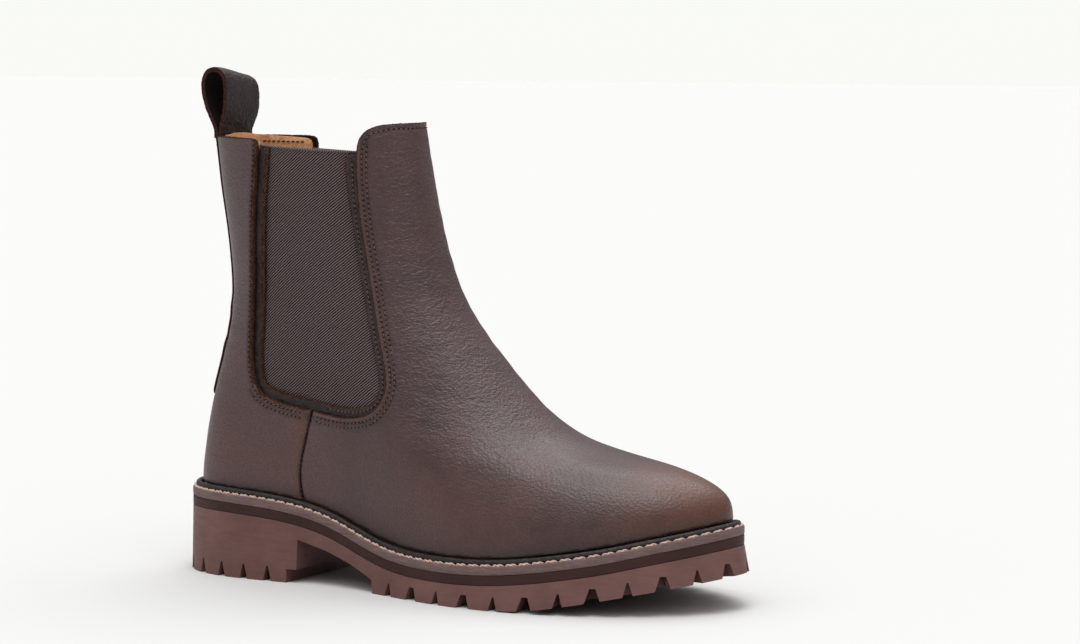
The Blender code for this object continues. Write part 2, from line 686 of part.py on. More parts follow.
def make_inner_layers(parts):
    vamp = [vamp_loop(inset=1.2, feather=4.6, top=0.6)]
    panel("vamp_lining", vamp, lining_depth, LINING_THICKNESS, LINING_COLOUR, parts, 9.0)
    heel = [lining_loop(38.0, FLEX_Z - 0.6)]
    panel("heel_lining", heel, lining_depth, LINING_THICKNESS, LINING_COLOUR, parts)
    shaft = [lining_loop(FLEX_Z + 0.6, COLLAR_BACK_Z - 0.3)]
    panel("shaft_lining", shaft, lining_depth, LINING_THICKNESS, LINING_COLOUR, parts)
    panel("heel_counter", [COUNTER_LOOP], COUNTER_DEPTH, COUNTER_THICKNESS, BOARD_COLOUR, parts)
    panel("toe_puff", [PUFF_LOOP], PUFF_DEPTH, PUFF_THICKNESS, BOARD_COLOUR, parts)


def make_back(parts):
    strip = back_strip(BACKSTAY_FOOT_Z, FLEX_Z - 0.6, 0.060)
    panel("backstay_foot", [strip], -BACKSTAY_HEIGHT, BACKSTAY_THICKNESS, EDGE_COLOUR, parts, 5.0)
    strip = back_strip(FLEX_Z + 0.6, COLLAR_BACK_Z, 0.070)
    panel("backstay", [strip], -BACKSTAY_HEIGHT, BACKSTAY_THICKNESS, EDGE_COLOUR, parts, 5.0)
    tail = back_strip(LOOP_TAIL_Z, COLLAR_BACK_Z - 0.6, 0.085)
    panel("pull_loop_tail", [tail], TAIL_DEPTH, TAIL_THICKNESS, LEATHER_COLOUR, parts, 5.0)


def make_pull_loop(parts):
    """The folded strap, with its origin on the hinge at its root."""
    centre = smooth_line(LOOP_CENTRELINE, 30)
    outer = offset_line(centre, -LOOP_THICKNESS / 2)
    inner = offset_line(centre, LOOP_THICKNESS / 2)
    outline = [tuple(p) for p in outer] + [tuple(p) for p in inner[::-1]]
    verts, faces = prism(outline, -LOOP_WIDTH / 2, LOOP_WIDTH / 2)
    verts = [(x, y, z * (1 - LOOP_SAG * (0.5 + y / LOOP_WIDTH))) for x, y, z in verts]
    walls = faces[2:]
    count = len(centre)
    for start in (0, 2 * count):
        ring = [(start + i, start + i + 1, start + 2 * count - 2 - i, start + 2 * count - 1 - i)
                for i in range(count - 1)]
        walls += ring if start else [tuple(reversed(face)) for face in ring]
    loop = add_object("pull_loop", verts, walls, LEATHER_COLOUR, parts)
    loop.location = (LOOP_HINGE[0] * MM, 0.0, LOOP_HINGE[1] * MM)


def build():
    clear_scene()
    parts = new_collection(BOOT)
    cutters = new_collection(BOOT + "_cutters", helper=True)
    make_outsole(parts, cutters)
    make_sole_stack(parts)
    make_welt_trim(parts)
    make_uppers(parts)
    make_gores(parts)
    make_inner_layers(parts)
    make_back(parts)
    make_pull_loop(parts)


build()
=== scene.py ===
"""Looks of the chelsea boot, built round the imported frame.

Lengths are in millimetres until a mesh is made. X runs from heel to toe, Z is up and -Y is the outer side.
"""

import math

import bmesh
import bpy
import numpy as np
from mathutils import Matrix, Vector, geometry, kdtree, noise


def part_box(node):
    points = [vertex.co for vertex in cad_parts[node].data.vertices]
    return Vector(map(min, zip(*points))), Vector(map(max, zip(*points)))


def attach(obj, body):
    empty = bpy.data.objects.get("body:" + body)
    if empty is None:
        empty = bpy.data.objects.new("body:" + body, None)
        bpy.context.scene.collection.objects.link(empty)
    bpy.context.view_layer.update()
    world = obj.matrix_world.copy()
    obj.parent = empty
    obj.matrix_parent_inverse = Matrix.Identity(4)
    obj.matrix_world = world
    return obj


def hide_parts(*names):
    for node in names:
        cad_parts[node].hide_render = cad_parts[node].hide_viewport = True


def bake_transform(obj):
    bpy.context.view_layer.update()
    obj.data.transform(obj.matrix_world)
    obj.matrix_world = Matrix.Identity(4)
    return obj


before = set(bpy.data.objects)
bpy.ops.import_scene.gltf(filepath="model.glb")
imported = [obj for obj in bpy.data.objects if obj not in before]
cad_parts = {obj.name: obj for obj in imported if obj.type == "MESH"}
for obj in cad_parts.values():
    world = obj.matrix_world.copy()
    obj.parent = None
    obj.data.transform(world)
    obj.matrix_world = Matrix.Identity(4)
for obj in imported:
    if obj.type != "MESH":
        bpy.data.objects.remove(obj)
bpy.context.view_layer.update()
# Without a seed, noise_vector takes its offsets from the clock, and each run would differ a little.
noise.seed_set(11)

MM = 0.001
LATERAL, MEDIAL = -1, 1
SIDES = ((LATERAL, "lateral"), (MEDIAL, "medial"))

# Sole outline, heel to toe, as (x, half width) on each side. The toe tip leans inwards.
LENGTH = (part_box("midsole")[1].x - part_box("midsole")[0].x) / MM
TOE_TIP_Y = 6.0
OUTER_EDGE = [
    (-141, 15), (-131, 27.5), (-115, 34.5), (-95, 36.5), (-70, 35.5), (-45, 35.5), (-20, 40.5),
    (5, 47.5), (25, 51.5), (45, 52.5), (68, 50.5), (90, 45), (108, 37), (122, 28), (134, 16.5), (142, 3),
]
INNER_EDGE = [
    (-141, 15), (-132, 27), (-117, 34), (-98, 36), (-75, 34.5), (-50, 33), (-25, 33), (0, 37.5),
    (25, 44.5), (50, 51), (70, 53), (90, 50.5), (108, 44), (124, 34.5), (136, 24), (142.5, 14),
]
TOE_SPRING_START, TOE_SPRING_SLOPE, TOE_SPRING_EASE = 63.5, 0.205, 8.0
OUTSOLE_TOP = [
    (-144, 31), (-95, 30.2), (-66, 26.9), (-50, 22.9), (-33, 17), (-13, 11.8), (6, 10.1), (27, 10),
    (44, 10.7), (64, 12.7), (83, 15.6), (99, 18.5), (113, 21.7), (129, 25.3), (144, 28.6),
]
GAP = 0.3
MIDSOLE_THICKNESS = 4.3
WELT_THICKNESS = 4.1
WELT_INSET = 5.0
HEEL_FLARE, TOE_FLARE = 0.7, 2.3
TREAD_DEPTH = 6.0
HEEL_TREAD_DEPTH = 7.2
FOREFOOT_START, FOREFOOT_PITCH = -11.0, 15.5
HEEL_START, HEEL_PITCH = -83.5, 13.2
# Half widths at the ground and at the top of a gap between lugs, and how far it reaches in.
WIDE_NOTCH = (3.6, 1.4, 17.0)
NARROW_NOTCH = (2.3, 0.4, 10.0)
HEEL_GROOVES = (-126.0, -112.0, -98.0)
FOREFOOT_GROOVES = np.arange(-3, 122, FOREFOOT_PITCH)
GROOVE = (2.2, 1.6)
BELOW_GROUND = 3.0
NOTCH_OVERSHOOT = 4.0
BEAD_RADIUS = 1.35
ARCH_REACH = 80.0
ARCH = [(-73, -6), (-73, 6.4), (-67.5, 6.4), (-67, 20.8), (-50, 16.4), (-33, 10.6), (-22.5, 6.2), (-20.5, -6)]

# Rings of the upper's outer skin: (t, back x, back z, front x, front z, half width, how foot shaped it is).
RINGS = [
    (0, -139.0, 40.2, 139.0, 37.6, 47.0, 1.0),
    (4, -139.0, 44.0, 138.8, 41.8, 47.2, 1.0),
    (14, -138.2, 54.0, 136.6, 49.6, 46.6, 0.97),
    (28, -136.2, 69.0, 126.0, 56.9, 44.6, 0.86),
    (44, -132.6, 86.0, 106.5, 62.5, 41.2, 0.66),
    (60, -127.8, 103.0, 78.5, 67.3, 38.2, 0.45),
    (76, -123.8, 118.0, 55.5, 76.3, 35.8, 0.26),
    (92, -121.8, 133.0, 37.0, 91.0, 33.6, 0.12),
    (108, -122.2, 147.0, 19.5, 109.0, 31.8, 0.04),
    (126, -124.4, 165.0, 2.5, 131.0, 30.4, 0.0),
    (147, -127.6, 184.0, -9.0, 159.0, 29.2, 0.0),
    (163, -129.6, 199.0, -14.5, 183.0, 28.4, 0.0),
    (178, -131.2, 212.0, -19.2, 209.0, 27.8, 0.0),
    (192, -132.4, 226.0, -22.4, 233.0, 27.4, 0.0),
]
RING_POINTS = 48

# Side-view outlines on the skin, as (x, z).
GORE_OPENING = [
    (-94.7, 222), (-94.7, 208), (-96.7, 180), (-98.2, 145), (-98.7, 110), (-97.2, 98), (-93, 89.5), (-86, 86),
    (-76, 83.6), (-62, 81.6), (-46, 79.6), (-33, 80.6), (-23.4, 84.8), (-18.8, 92.4), (-19.2, 101),
    (-23.4, 114.5), (-30.5, 139), (-37.8, 170), (-41, 196), (-41, 222),
]
SIDE_SEAM = [(-62.5, 81.7), (-64.5, 74), (-67, 64), (-69, 55), (-69, 48), (-67.5, 38.5)]
COLLAR_BACK_Z = 208.5
GORE_TOP_REAR, GORE_TOP_FRONT = 205.0, 203.0
TAB_TOP = [(-41, 206), (-39.5, 210.5), (-35.5, 214), (-28, 216), (-20.5, 216.5)]
GORE_MIDDLE_X = -75.0
FACING_WIDTH = 4.4
FACING_ROW = 2.3
FACING_TUCK = 3.0
UPPER_THICKNESS = 1.9
FACING_DEPTH, FACING_THICKNESS = 2.2, 1.2
GORE_DEPTH, GORE_THICKNESS = 3.6, 1.0
LINING_DEPTH, LINING_THICKNESS = 5.1, 0.9
SHALLOW_LINING, TAIL_LINING = 2.7, 6.4
BACKSTAY_HEIGHT, BACKSTAY_THICKNESS = 1.35, 1.2
BACKSTAY_FOOT_Z = 82.0


def cubic(knots, values, period=None):
    """A cubic spline through the values, natural at its ends or periodic."""
    knots = np.asarray(knots, float)
    values = np.asarray(values, float)
    if period is None:
        inner, height = knots, values
    else:
        inner = np.concatenate([knots[-4:] - period, knots, knots[:4] + period])
        height = np.concatenate([values[-4:], values, values[:4]])
    count = len(inner)
    step = np.diff(inner)
    slope = np.diff(height, axis=0) / (step if height.ndim == 1 else step[:, None])
    system = np.eye(count)
    right = np.zeros_like(height)
    for i in range(1, count - 1):
        system[i, i - 1:i + 2] = step[i - 1], 2 * (step[i - 1] + step[i]), step[i]
        right[i] = 6 * (slope[i] - slope[i - 1])
    bend = np.linalg.solve(system, right)

    def at(where):
        where = np.asarray(where, float)
        if period is not None:
            where = (where - knots[0]) % period + knots[0]
        i = np.clip(np.searchsorted(inner, where) - 1, 0, count - 2)
        a, b, h = inner[i + 1] - where, where - inner[i], step[i]
        if height.ndim > 1:
            a, b, h = a[..., None], b[..., None], h[..., None]
        curve = (bend[i] * a**3 + bend[i + 1] * b**3) / (6 * h)
        return curve + (height[i] / h - bend[i] * h / 6) * a + (height[i + 1] / h - bend[i + 1] * h / 6) * b

    return at


def ease(value):
    value = np.clip(value, 0.0, 1.0)
    return value * value * (3 - 2 * value)


def bell(value, width):
    return np.exp(-(np.asarray(value) / width) ** 2)


def unit(vectors):
    return vectors / np.linalg.norm(vectors, axis=-1)[..., None]


def follow(path, travelled, where):
    """The places on a path at some distances along it."""
    return np.stack([np.interp(where, travelled, column) for column in path.T], axis=-1)


def outline_curve():
    """The sole's edge as a point for each c: -1 at the heel, through the outer side to the toe at 0, to 1."""
    half = LENGTH / 2
    points = [(-half, 0.0)]
    points += [(x, -y) for x, y in OUTER_EDGE]
    points += [(half, TOE_TIP_Y)]
    points += [(x, y) for x, y in reversed(INNER_EDGE)]
    turn = [math.acos(max(-1.0, min(1.0, x / half))) / math.pi for x, _ in points]
    toe = len(OUTER_EDGE) + 1
    turn = [-c for c in turn[:toe]] + turn[toe:]
    return cubic(turn, points, period=2.0)


EDGE = outline_curve()
TOP_Z = cubic(*zip(*OUTSOLE_TOP))


def tread_z(x):
    rise = np.logaddexp(0.0, (np.asarray(x) - TOE_SPRING_START) / TOE_SPRING_EASE)
    return TOE_SPRING_SLOPE * TOE_SPRING_EASE * rise


def even_turns(count):
    """Values of c at even steps along the sole's edge."""
    c = np.linspace(-1, 1, 4001)
    step = np.linalg.norm(np.diff(EDGE(c), axis=0), axis=1)
    travelled = np.concatenate([[0], np.cumsum(step)])
    return np.interp(np.linspace(0, travelled[-1], count, endpoint=False), travelled, c)


def edge_directions(c):
    """The inward and forward directions along the sole's edge."""
    ahead = unit(EDGE(c + 0.002) - EDGE(c - 0.002))
    return np.stack([-ahead[..., 1], ahead[..., 0]], axis=-1), ahead


def sole_edge(c, inset=0.0):
    """Points on the sole's edge, moved inwards by inset."""
    return EDGE(c) + edge_directions(c)[0] * np.broadcast_to(inset, c.shape)[:, None]


def midsole_bottom(x):
    return TOP_Z(x) + GAP


def midsole_top(x):
    return midsole_bottom(x) + MIDSOLE_THICKNESS


def welt_bottom(x):
    return midsole_top(x) + GAP


def welt_top(x):
    return welt_bottom(x) + WELT_THICKNESS


def skin_function():
    """The upper's outer skin as a point for each (c, t)."""
    c = np.linspace(-1, 1, RING_POINTS, endpoint=False)
    foot = sole_edge(c, WELT_INSET)
    foot_x = (foot[:, 0] - foot[:, 0].min()) / np.ptp(foot[:, 0])
    foot_y = foot[:, 1] / RINGS[0][5]
    oval_x = (1 + np.cos(math.pi * c)) / 2
    oval_y = np.sign(c) * np.abs(np.sin(math.pi * c)) ** np.where(np.abs(c) > 0.5, 0.78, 0.9)
    line = welt_top(foot[:, 0])
    back_line, front_line = line[foot_x.argmin()], line[foot_x.argmax()]
    rings = []
    for _, back_x, back_z, front_x, front_z, width, footness in RINGS:
        along = footness * foot_x + (1 - footness) * oval_x
        side = width * (footness * foot_y + (1 - footness) * oval_y)
        dip = np.interp(along, np.sort(foot_x), line[np.argsort(foot_x)])
        dip -= back_line + (front_line - back_line) * along
        height = back_z + (front_z - back_z) * along + footness**1.5 * dip
        rings.append(np.stack([back_x + (front_x - back_x) * along, side, height], axis=1))
    across = cubic([ring[0] for ring in RINGS], np.array(rings).reshape(len(RINGS), -1))

    def skin(turn, t):
        turn, t = np.broadcast_arrays(np.asarray(turn, float), np.asarray(t, float))
        flat_turn, flat_t = turn.ravel(), t.ravel()
        ring = across(flat_t).reshape(len(flat_t), RING_POINTS, 3)
        where = ((flat_turn + 1) % 2) / 2 * RING_POINTS
        i = np.floor(where).astype(int)
        f = (where - i)[:, None]
        rows = np.arange(len(flat_t))
        p0, p1, p2, p3 = (ring[rows, (i + k) % RING_POINTS] for k in (-1, 0, 1, 2))
        bend = 2 * p0 - 5 * p1 + 4 * p2 - p3 + f * (3 * (p1 - p2) + p3 - p0)
        points = p1 + 0.5 * f * (p2 - p0 + f * bend)
        return points.reshape(*turn.shape, 3)

    return skin


SKIN = skin_function()


def skin_normal(turn, t):
    turn, t = np.asarray(turn, float), np.asarray(t, float)
    around = SKIN(turn + 0.01, t) - SKIN(turn - 0.01, t)
    up = SKIN(turn, t + 1.0) - SKIN(turn, t - 1.0)
    return unit(np.cross(around, up))


def skin_offset(turn, t, depth):
    """Points below the skin by depth, or above it where depth is negative."""
    return SKIN(turn, t) - skin_normal(turn, t) * np.asarray(depth)[..., None]


LOCATE_C, LOCATE_T = np.meshgrid(np.linspace(0.0, 1.0, 121), np.linspace(-4.0, 190.0, 195), indexing="ij")


def locate(side, points):
    """The (c, t) on one side of the skin for each side-view point (x, z)."""
    points = np.asarray(points, float)
    seen = SKIN(side * LOCATE_C, LOCATE_T)[..., [0, 2]].reshape(-1, 2)
    tree = kdtree.KDTree(len(seen))
    for i, (x, z) in enumerate(seen):
        tree.insert((x, z, 0.0), i)
    tree.balance()
    start = [tree.find((x, z, 0.0))[1] for x, z in points]
    c, t = LOCATE_C.ravel()[start].copy(), LOCATE_T.ravel()[start].copy()
    for _ in range(8):
        here = SKIN(side * c, t)[:, [0, 2]]
        by_c = (SKIN(side * (c + 0.002), t)[:, [0, 2]] - here) / 0.002
        by_t = (SKIN(side * c, t + 0.2)[:, [0, 2]] - here) / 0.2
        wrong = points - here
        det = by_c[:, 0] * by_t[:, 1] - by_c[:, 1] * by_t[:, 0]
        det = np.where(np.abs(det) < 1e-3, np.inf, det)
        c_step = (wrong[:, 0] * by_t[:, 1] - wrong[:, 1] * by_t[:, 0]) / det
        t_step = (by_c[:, 0] * wrong[:, 1] - by_c[:, 1] * wrong[:, 0]) / det
        c = np.clip(c + np.clip(c_step, -0.02, 0.02), 0.0, 1.0)
        t = t + np.clip(t_step, -2, 2)
    return np.column_stack([side * c, t])


def resample(points, spacing, closed=False):
    """The polyline with points about spacing apart, its own corners kept."""
    points = [np.asarray(p, float) for p in points]
    if closed:
        points = points + points[:1]
    made = [points[0]]
    for start, end in zip(points, points[1:]):
        pieces = max(1, round(float(np.linalg.norm(end - start)) / spacing))
        made += [start + (end - start) * i / pieces for i in range(1, pieces + 1)]
    return np.array(made[:-1] if closed else made)


def path_length(points):
    return np.concatenate([[0], np.cumsum(np.linalg.norm(np.diff(points, axis=0), axis=1))])


def smooth_line(points, count):
    """A smooth curve through the points, with count points at equal steps."""
    points = np.asarray(points, float)
    length = path_length(points)
    return cubic(length, points)(np.linspace(0, length[-1], count))


def offset_line(points, distance):
    """The polyline moved to its right by distance."""
    points = np.asarray(points, float)
    ahead = unit(np.gradient(points, axis=0))
    return points + np.stack([ahead[:, 1], -ahead[:, 0]], axis=1) * distance


def line_distance(points, line):
    """How far each side-view point is from a polyline."""
    a, b = line[:-1], line[1:]
    span = b - a
    reach = points[:, None] - a[None]
    along = np.clip((reach * span).sum(-1) / (span**2).sum(-1), 0, 1)
    return np.linalg.norm(reach - along[..., None] * span, axis=-1).min(axis=1)


# ---------------------------------------------------------------- meshes

SHEET_SCALE = np.array([220.0, 1.0])
SHEET_SPACING = 1.7
SHEET_SMOOTH = 38.0
EDGE_BEVEL = 0.5
UPWARDS = np.array([0.0, 0.0, 1.0])


def inside(points, loops):
    """Which points are inside the loops."""
    crossings = np.zeros(len(points), int)
    x, y = points[:, 0], points[:, 1]
    for loop in loops:
        a = np.asarray(loop, float)
        for p, q in zip(a, np.roll(a, -1, axis=0)):
            if p[1] == q[1]:
                continue
            spans = (p[1] > y) != (q[1] > y)
            crossings += spans & (p[0] + (y - p[1]) * (q[0] - p[0]) / (q[1] - p[1]) > x)
    return crossings % 2 == 1


def tree_of(points):
    tree = kdtree.KDTree(len(points))
    for i, p in enumerate(points):
        tree.insert((*p, 0.0) if len(p) == 2 else p, i)
    tree.balance()
    return tree


def triangulate(loops, spacing, free=()):
    """Triangles of the flat region inside the loops, with free points kept where they fit."""
    border = np.concatenate(loops)
    edges, first = [], 0
    for loop in loops:
        edges += [(first + i, first + (i + 1) % len(loop)) for i in range(len(loop))]
        first += len(loop)
    low, high = border.min(axis=0), border.max(axis=0)
    grid = []
    for i, y in enumerate(np.arange(low[1] + 0.6 * spacing, high[1], spacing * 0.87)):
        grid += [(x, y) for x in np.arange(low[0] + (i % 2) * spacing / 2, high[0], spacing)]
    kept = border
    for extra, room in ((np.asarray(free), 0.0), (np.array(grid), 0.62 * spacing)):
        if not len(extra):
            continue
        extra = extra[inside(extra, loops)]
        if room:
            tree = tree_of(kept)
            extra = extra[[tree.find((*p, 0.0))[2] > room for p in extra]]
        kept = np.concatenate([kept, extra])
    verts, _, faces, _, _, _ = geometry.delaunay_2d_cdt([Vector(p) for p in kept], edges, [], 0, 1e-6)
    verts = np.array([tuple(v) for v in verts])
    faces = np.array([face for face in faces if len(face) == 3])
    return verts, faces[inside(verts[faces].mean(axis=1), loops)]


def inset_rings(loop, distances):
    """Free points inside a (c, t) loop, at true distances from it."""
    loop = np.asarray(loop)
    scaled = loop * SHEET_SCALE
    ahead = np.roll(scaled, -1, axis=0) - np.roll(scaled, 1, axis=0)
    ahead /= np.linalg.norm(ahead, axis=1)[:, None] + 1e-9
    area = (scaled[:, 0] * np.roll(scaled[:, 1], -1) - np.roll(scaled[:, 0], -1) * scaled[:, 1]).sum()
    inward = np.stack([-ahead[:, 1], ahead[:, 0]], axis=1) * np.sign(area)
    probe = loop + inward * 0.5 / SHEET_SCALE
    stretch = np.linalg.norm(SKIN(*probe.T) - SKIN(*loop.T), axis=1) / 0.5
    tree = tree_of(scaled)
    found = []
    for distance in distances:
        step = distance / np.maximum(stretch, 0.3)
        ring = scaled + inward * step[:, None]
        clear = np.array([tree.find((*p, 0.0))[2] for p in ring]) > 0.8 * step
        found.append(ring[clear])
    return np.concatenate(found)


def border_edges(faces):
    """The edges with a face on one side only."""
    pairs = np.concatenate([faces[:, [0, 1]], faces[:, [1, 2]], faces[:, [2, 0]]])
    seen = {}
    for a, b in pairs.tolist():
        if (b, a) in seen:
            del seen[(b, a)]
        else:
            seen[(a, b)] = True
    return np.array([(b, a) for a, b in seen])


def thicken(top, bottom, faces, edges):
    """One solid from the top and bottom points of a triangulation. Its walls come last in its faces."""
    count = len(top)
    wall = np.column_stack([edges[:, 0], edges[:, 1], edges[:, 1] + count, edges[:, 0] + count])
    return np.concatenate([top, bottom]), faces.tolist() + (faces[:, ::-1] + count).tolist() + wall.tolist()


def tube_faces(count, sides, closed=False):
    """Quads between rings of points, and a face over each end of an open tube."""
    faces = []
    for i in range(count if closed else count - 1):
        k = (i + 1) % count
        for j in range(sides):
            m = (j + 1) % sides
            faces.append((i * sides + j, i * sides + m, k * sides + m, k * sides + j))
    if not closed:
        faces += [tuple(range(sides)), tuple(reversed(range((count - 1) * sides, count * sides)))]
    return faces


def add_piece(name, verts, faces, materials, slots=None, smooth=40.0, uv=None, values=None):
    """A mesh object from points in millimetres. Values are numbers at its points, by name."""
    mesh = bpy.data.meshes.new(name)
    faces = [tuple(face) for face in (faces.tolist() if hasattr(faces, "tolist") else faces)]
    mesh.from_pydata((np.asarray(verts) * MM).tolist(), [], faces)
    for one in materials:
        mesh.materials.append(one)
    if slots is not None:
        mesh.polygons.foreach_set("material_index", np.asarray(slots, np.int32))
    corners = np.empty(len(mesh.loops), np.int32)
    mesh.loops.foreach_get("vertex_index", corners)
    if uv is None:
        uv = np.asarray(verts)[:, [0, 2]] + np.asarray(verts)[:, [1]] * 0.5
    layer = mesh.uv_layers.new(name="UVMap")
    layer.data.foreach_set("uv", np.asarray(uv, np.float32)[corners].ravel())
    for label, numbers in (values or {}).items():
        made = mesh.attributes.new(label, "FLOAT", "POINT")
        made.data.foreach_set("value", np.asarray(numbers, np.float32))
    shape = bmesh.new()
    shape.from_mesh(mesh)
    bmesh.ops.recalc_face_normals(shape, faces=shape.faces)
    shape.to_mesh(mesh)
    shape.free()
    mesh.shade_smooth()
    mesh.set_sharp_from_angle(angle=math.radians(smooth))
    obj = bpy.data.objects.new(name, mesh)
    bpy.context.scene.collection.objects.link(obj)
    return obj


def sheet(name, loops, depth, thickness, materials, spacing=SHEET_SPACING, rings=(EDGE_BEVEL,), bevel=0.35,
          fuzz=0.0, values=None, uv=None, raw=None):
    """A sheet on the skin with soft edges. Loops are in (c, t); depth is a function of (c, t, points)."""
    tight = [resample(np.asarray(loop) * SHEET_SCALE, spacing, True) / SHEET_SCALE for loop in loops]
    free = np.concatenate([inset_rings(loop, rings) for loop in tight]) if rings else ()
    flat, faces = triangulate([loop * SHEET_SCALE for loop in tight], spacing, free)
    c, t = (flat / SHEET_SCALE).T
    skin = SKIN(c, t)
    down = depth(c, t, skin) if callable(depth) else np.full(len(c), float(depth))
    edges = border_edges(faces)
    rim = np.unique(edges)
    lowered = down.copy()
    lowered[rim] += bevel
    raised = down + thickness
    raised[rim] -= bevel
    top = skin_offset(c, t, lowered)
    bottom = skin_offset(c, t, raised)
    for i in rim if fuzz else ():
        top[i] += noise.noise_vector(Vector(top[i]) * 1.1) * fuzz
        bottom[i] += noise.noise_vector(Vector(bottom[i]) * 1.3) * fuzz
    bare = np.zeros(len(flat), bool)
    bare[rim] = raw(c, t, skin)[rim] if raw else True
    edge_slot, under_slot = min(1, len(materials) - 1), min(2, len(materials) - 1)
    slots = np.concatenate([
        edge_slot * bare[faces].any(axis=1), np.full(len(faces), under_slot), edge_slot * bare[edges[:, 0]]])
    numbers = {label: np.tile(made(c, t, skin), 2) for label, made in (values or {}).items()}
    flat_uv = flat if uv is None else uv(c, t, skin)
    verts, solid = thicken(top, bottom, faces, edges)
    return add_piece(name, verts, solid, materials, slots, SHEET_SMOOTH, np.tile(flat_uv, (2, 1)), numbers)


def sweep(name, path, out, section, paint, closed=True):
    """A solid whose section, of (out, up) points and perhaps its own for each place, runs along a path."""
    section = np.broadcast_to(section, (len(path), *np.shape(section)[-2:]))
    sides = section.shape[1]
    verts = path[:, None] + out[:, None] * section[..., [0]] + UPWARDS * section[..., [1]]
    uv = np.stack(np.broadcast_arrays(path_length(path)[:, None], np.arange(sides)[None] * 1.0), axis=-1)
    faces = tube_faces(len(path), sides, closed)
    return add_piece(name, verts.reshape(-1, 3), faces, [paint], uv=uv.reshape(-1, 2))


def circle(radius, sides, squash=1.0):
    turn = np.linspace(0, 2 * math.pi, sides, endpoint=False)
    return np.stack([np.cos(turn) * radius, np.sin(turn) * radius * squash], axis=1)


def strand(points, radius, sides=6):
    """Verts and quads of a thin closed tube that narrows at both ends."""
    points = np.asarray(points, float)
    ahead = unit(np.gradient(points, axis=0))
    across = unit(np.cross(ahead, (0.13, 0.21, 1.0)))
    other = np.cross(ahead, across)
    girth = radius * np.sqrt(1.02 - np.linspace(-1, 1, len(points)) ** 4)
    ring = circle(1.0, sides)
    spokes = across[:, None] * ring[:, [0]] + other[:, None] * ring[:, [1]]
    verts = points[:, None] + spokes * girth[:, None, None]
    return verts.reshape(-1, 3), tube_faces(len(points), sides)


def gather(parts):
    """One list of points and one of faces from many small solids."""
    verts, faces, first = [], [], 0
    for some_verts, some_faces in parts:
        verts.append(np.asarray(some_verts))
        faces += [tuple(first + i for i in face) for face in some_faces]
        first += len(some_verts)
    return np.concatenate(verts), faces


THREAD_SINK = 0.06


def stitches(path, normals, pitch, length, radius, lean):
    """Solids of the short threads of one stitched row. Each one dips into the leather at both ends."""
    travelled = path_length(path)
    reach = np.linspace(-0.5, 0.5, 7)
    lift = radius - THREAD_SINK - (2 * reach) ** 4 * radius * 2.2
    made = []
    for i in range(int(travelled[-1] / pitch)):
        where = (i + 0.5) * pitch + reach * length
        line, out = follow(path, travelled, where), follow(normals, travelled, where)
        across = np.cross(out[3], unit(line[-1] - line[0]))
        made.append(strand(line + out * lift[:, None] + across * (reach * lean)[:, None], radius, 5))
    return made


# ---------------------------------------------------------------- materials


def srgb(code):
    """Linear colour from a hex code."""
    parts = [int(code[i:i + 2], 16) / 255 for i in (1, 3, 5)]
    return tuple(((p + 0.055) / 1.055) ** 2.4 if p > 0.04045 else p / 12.92 for p in parts)


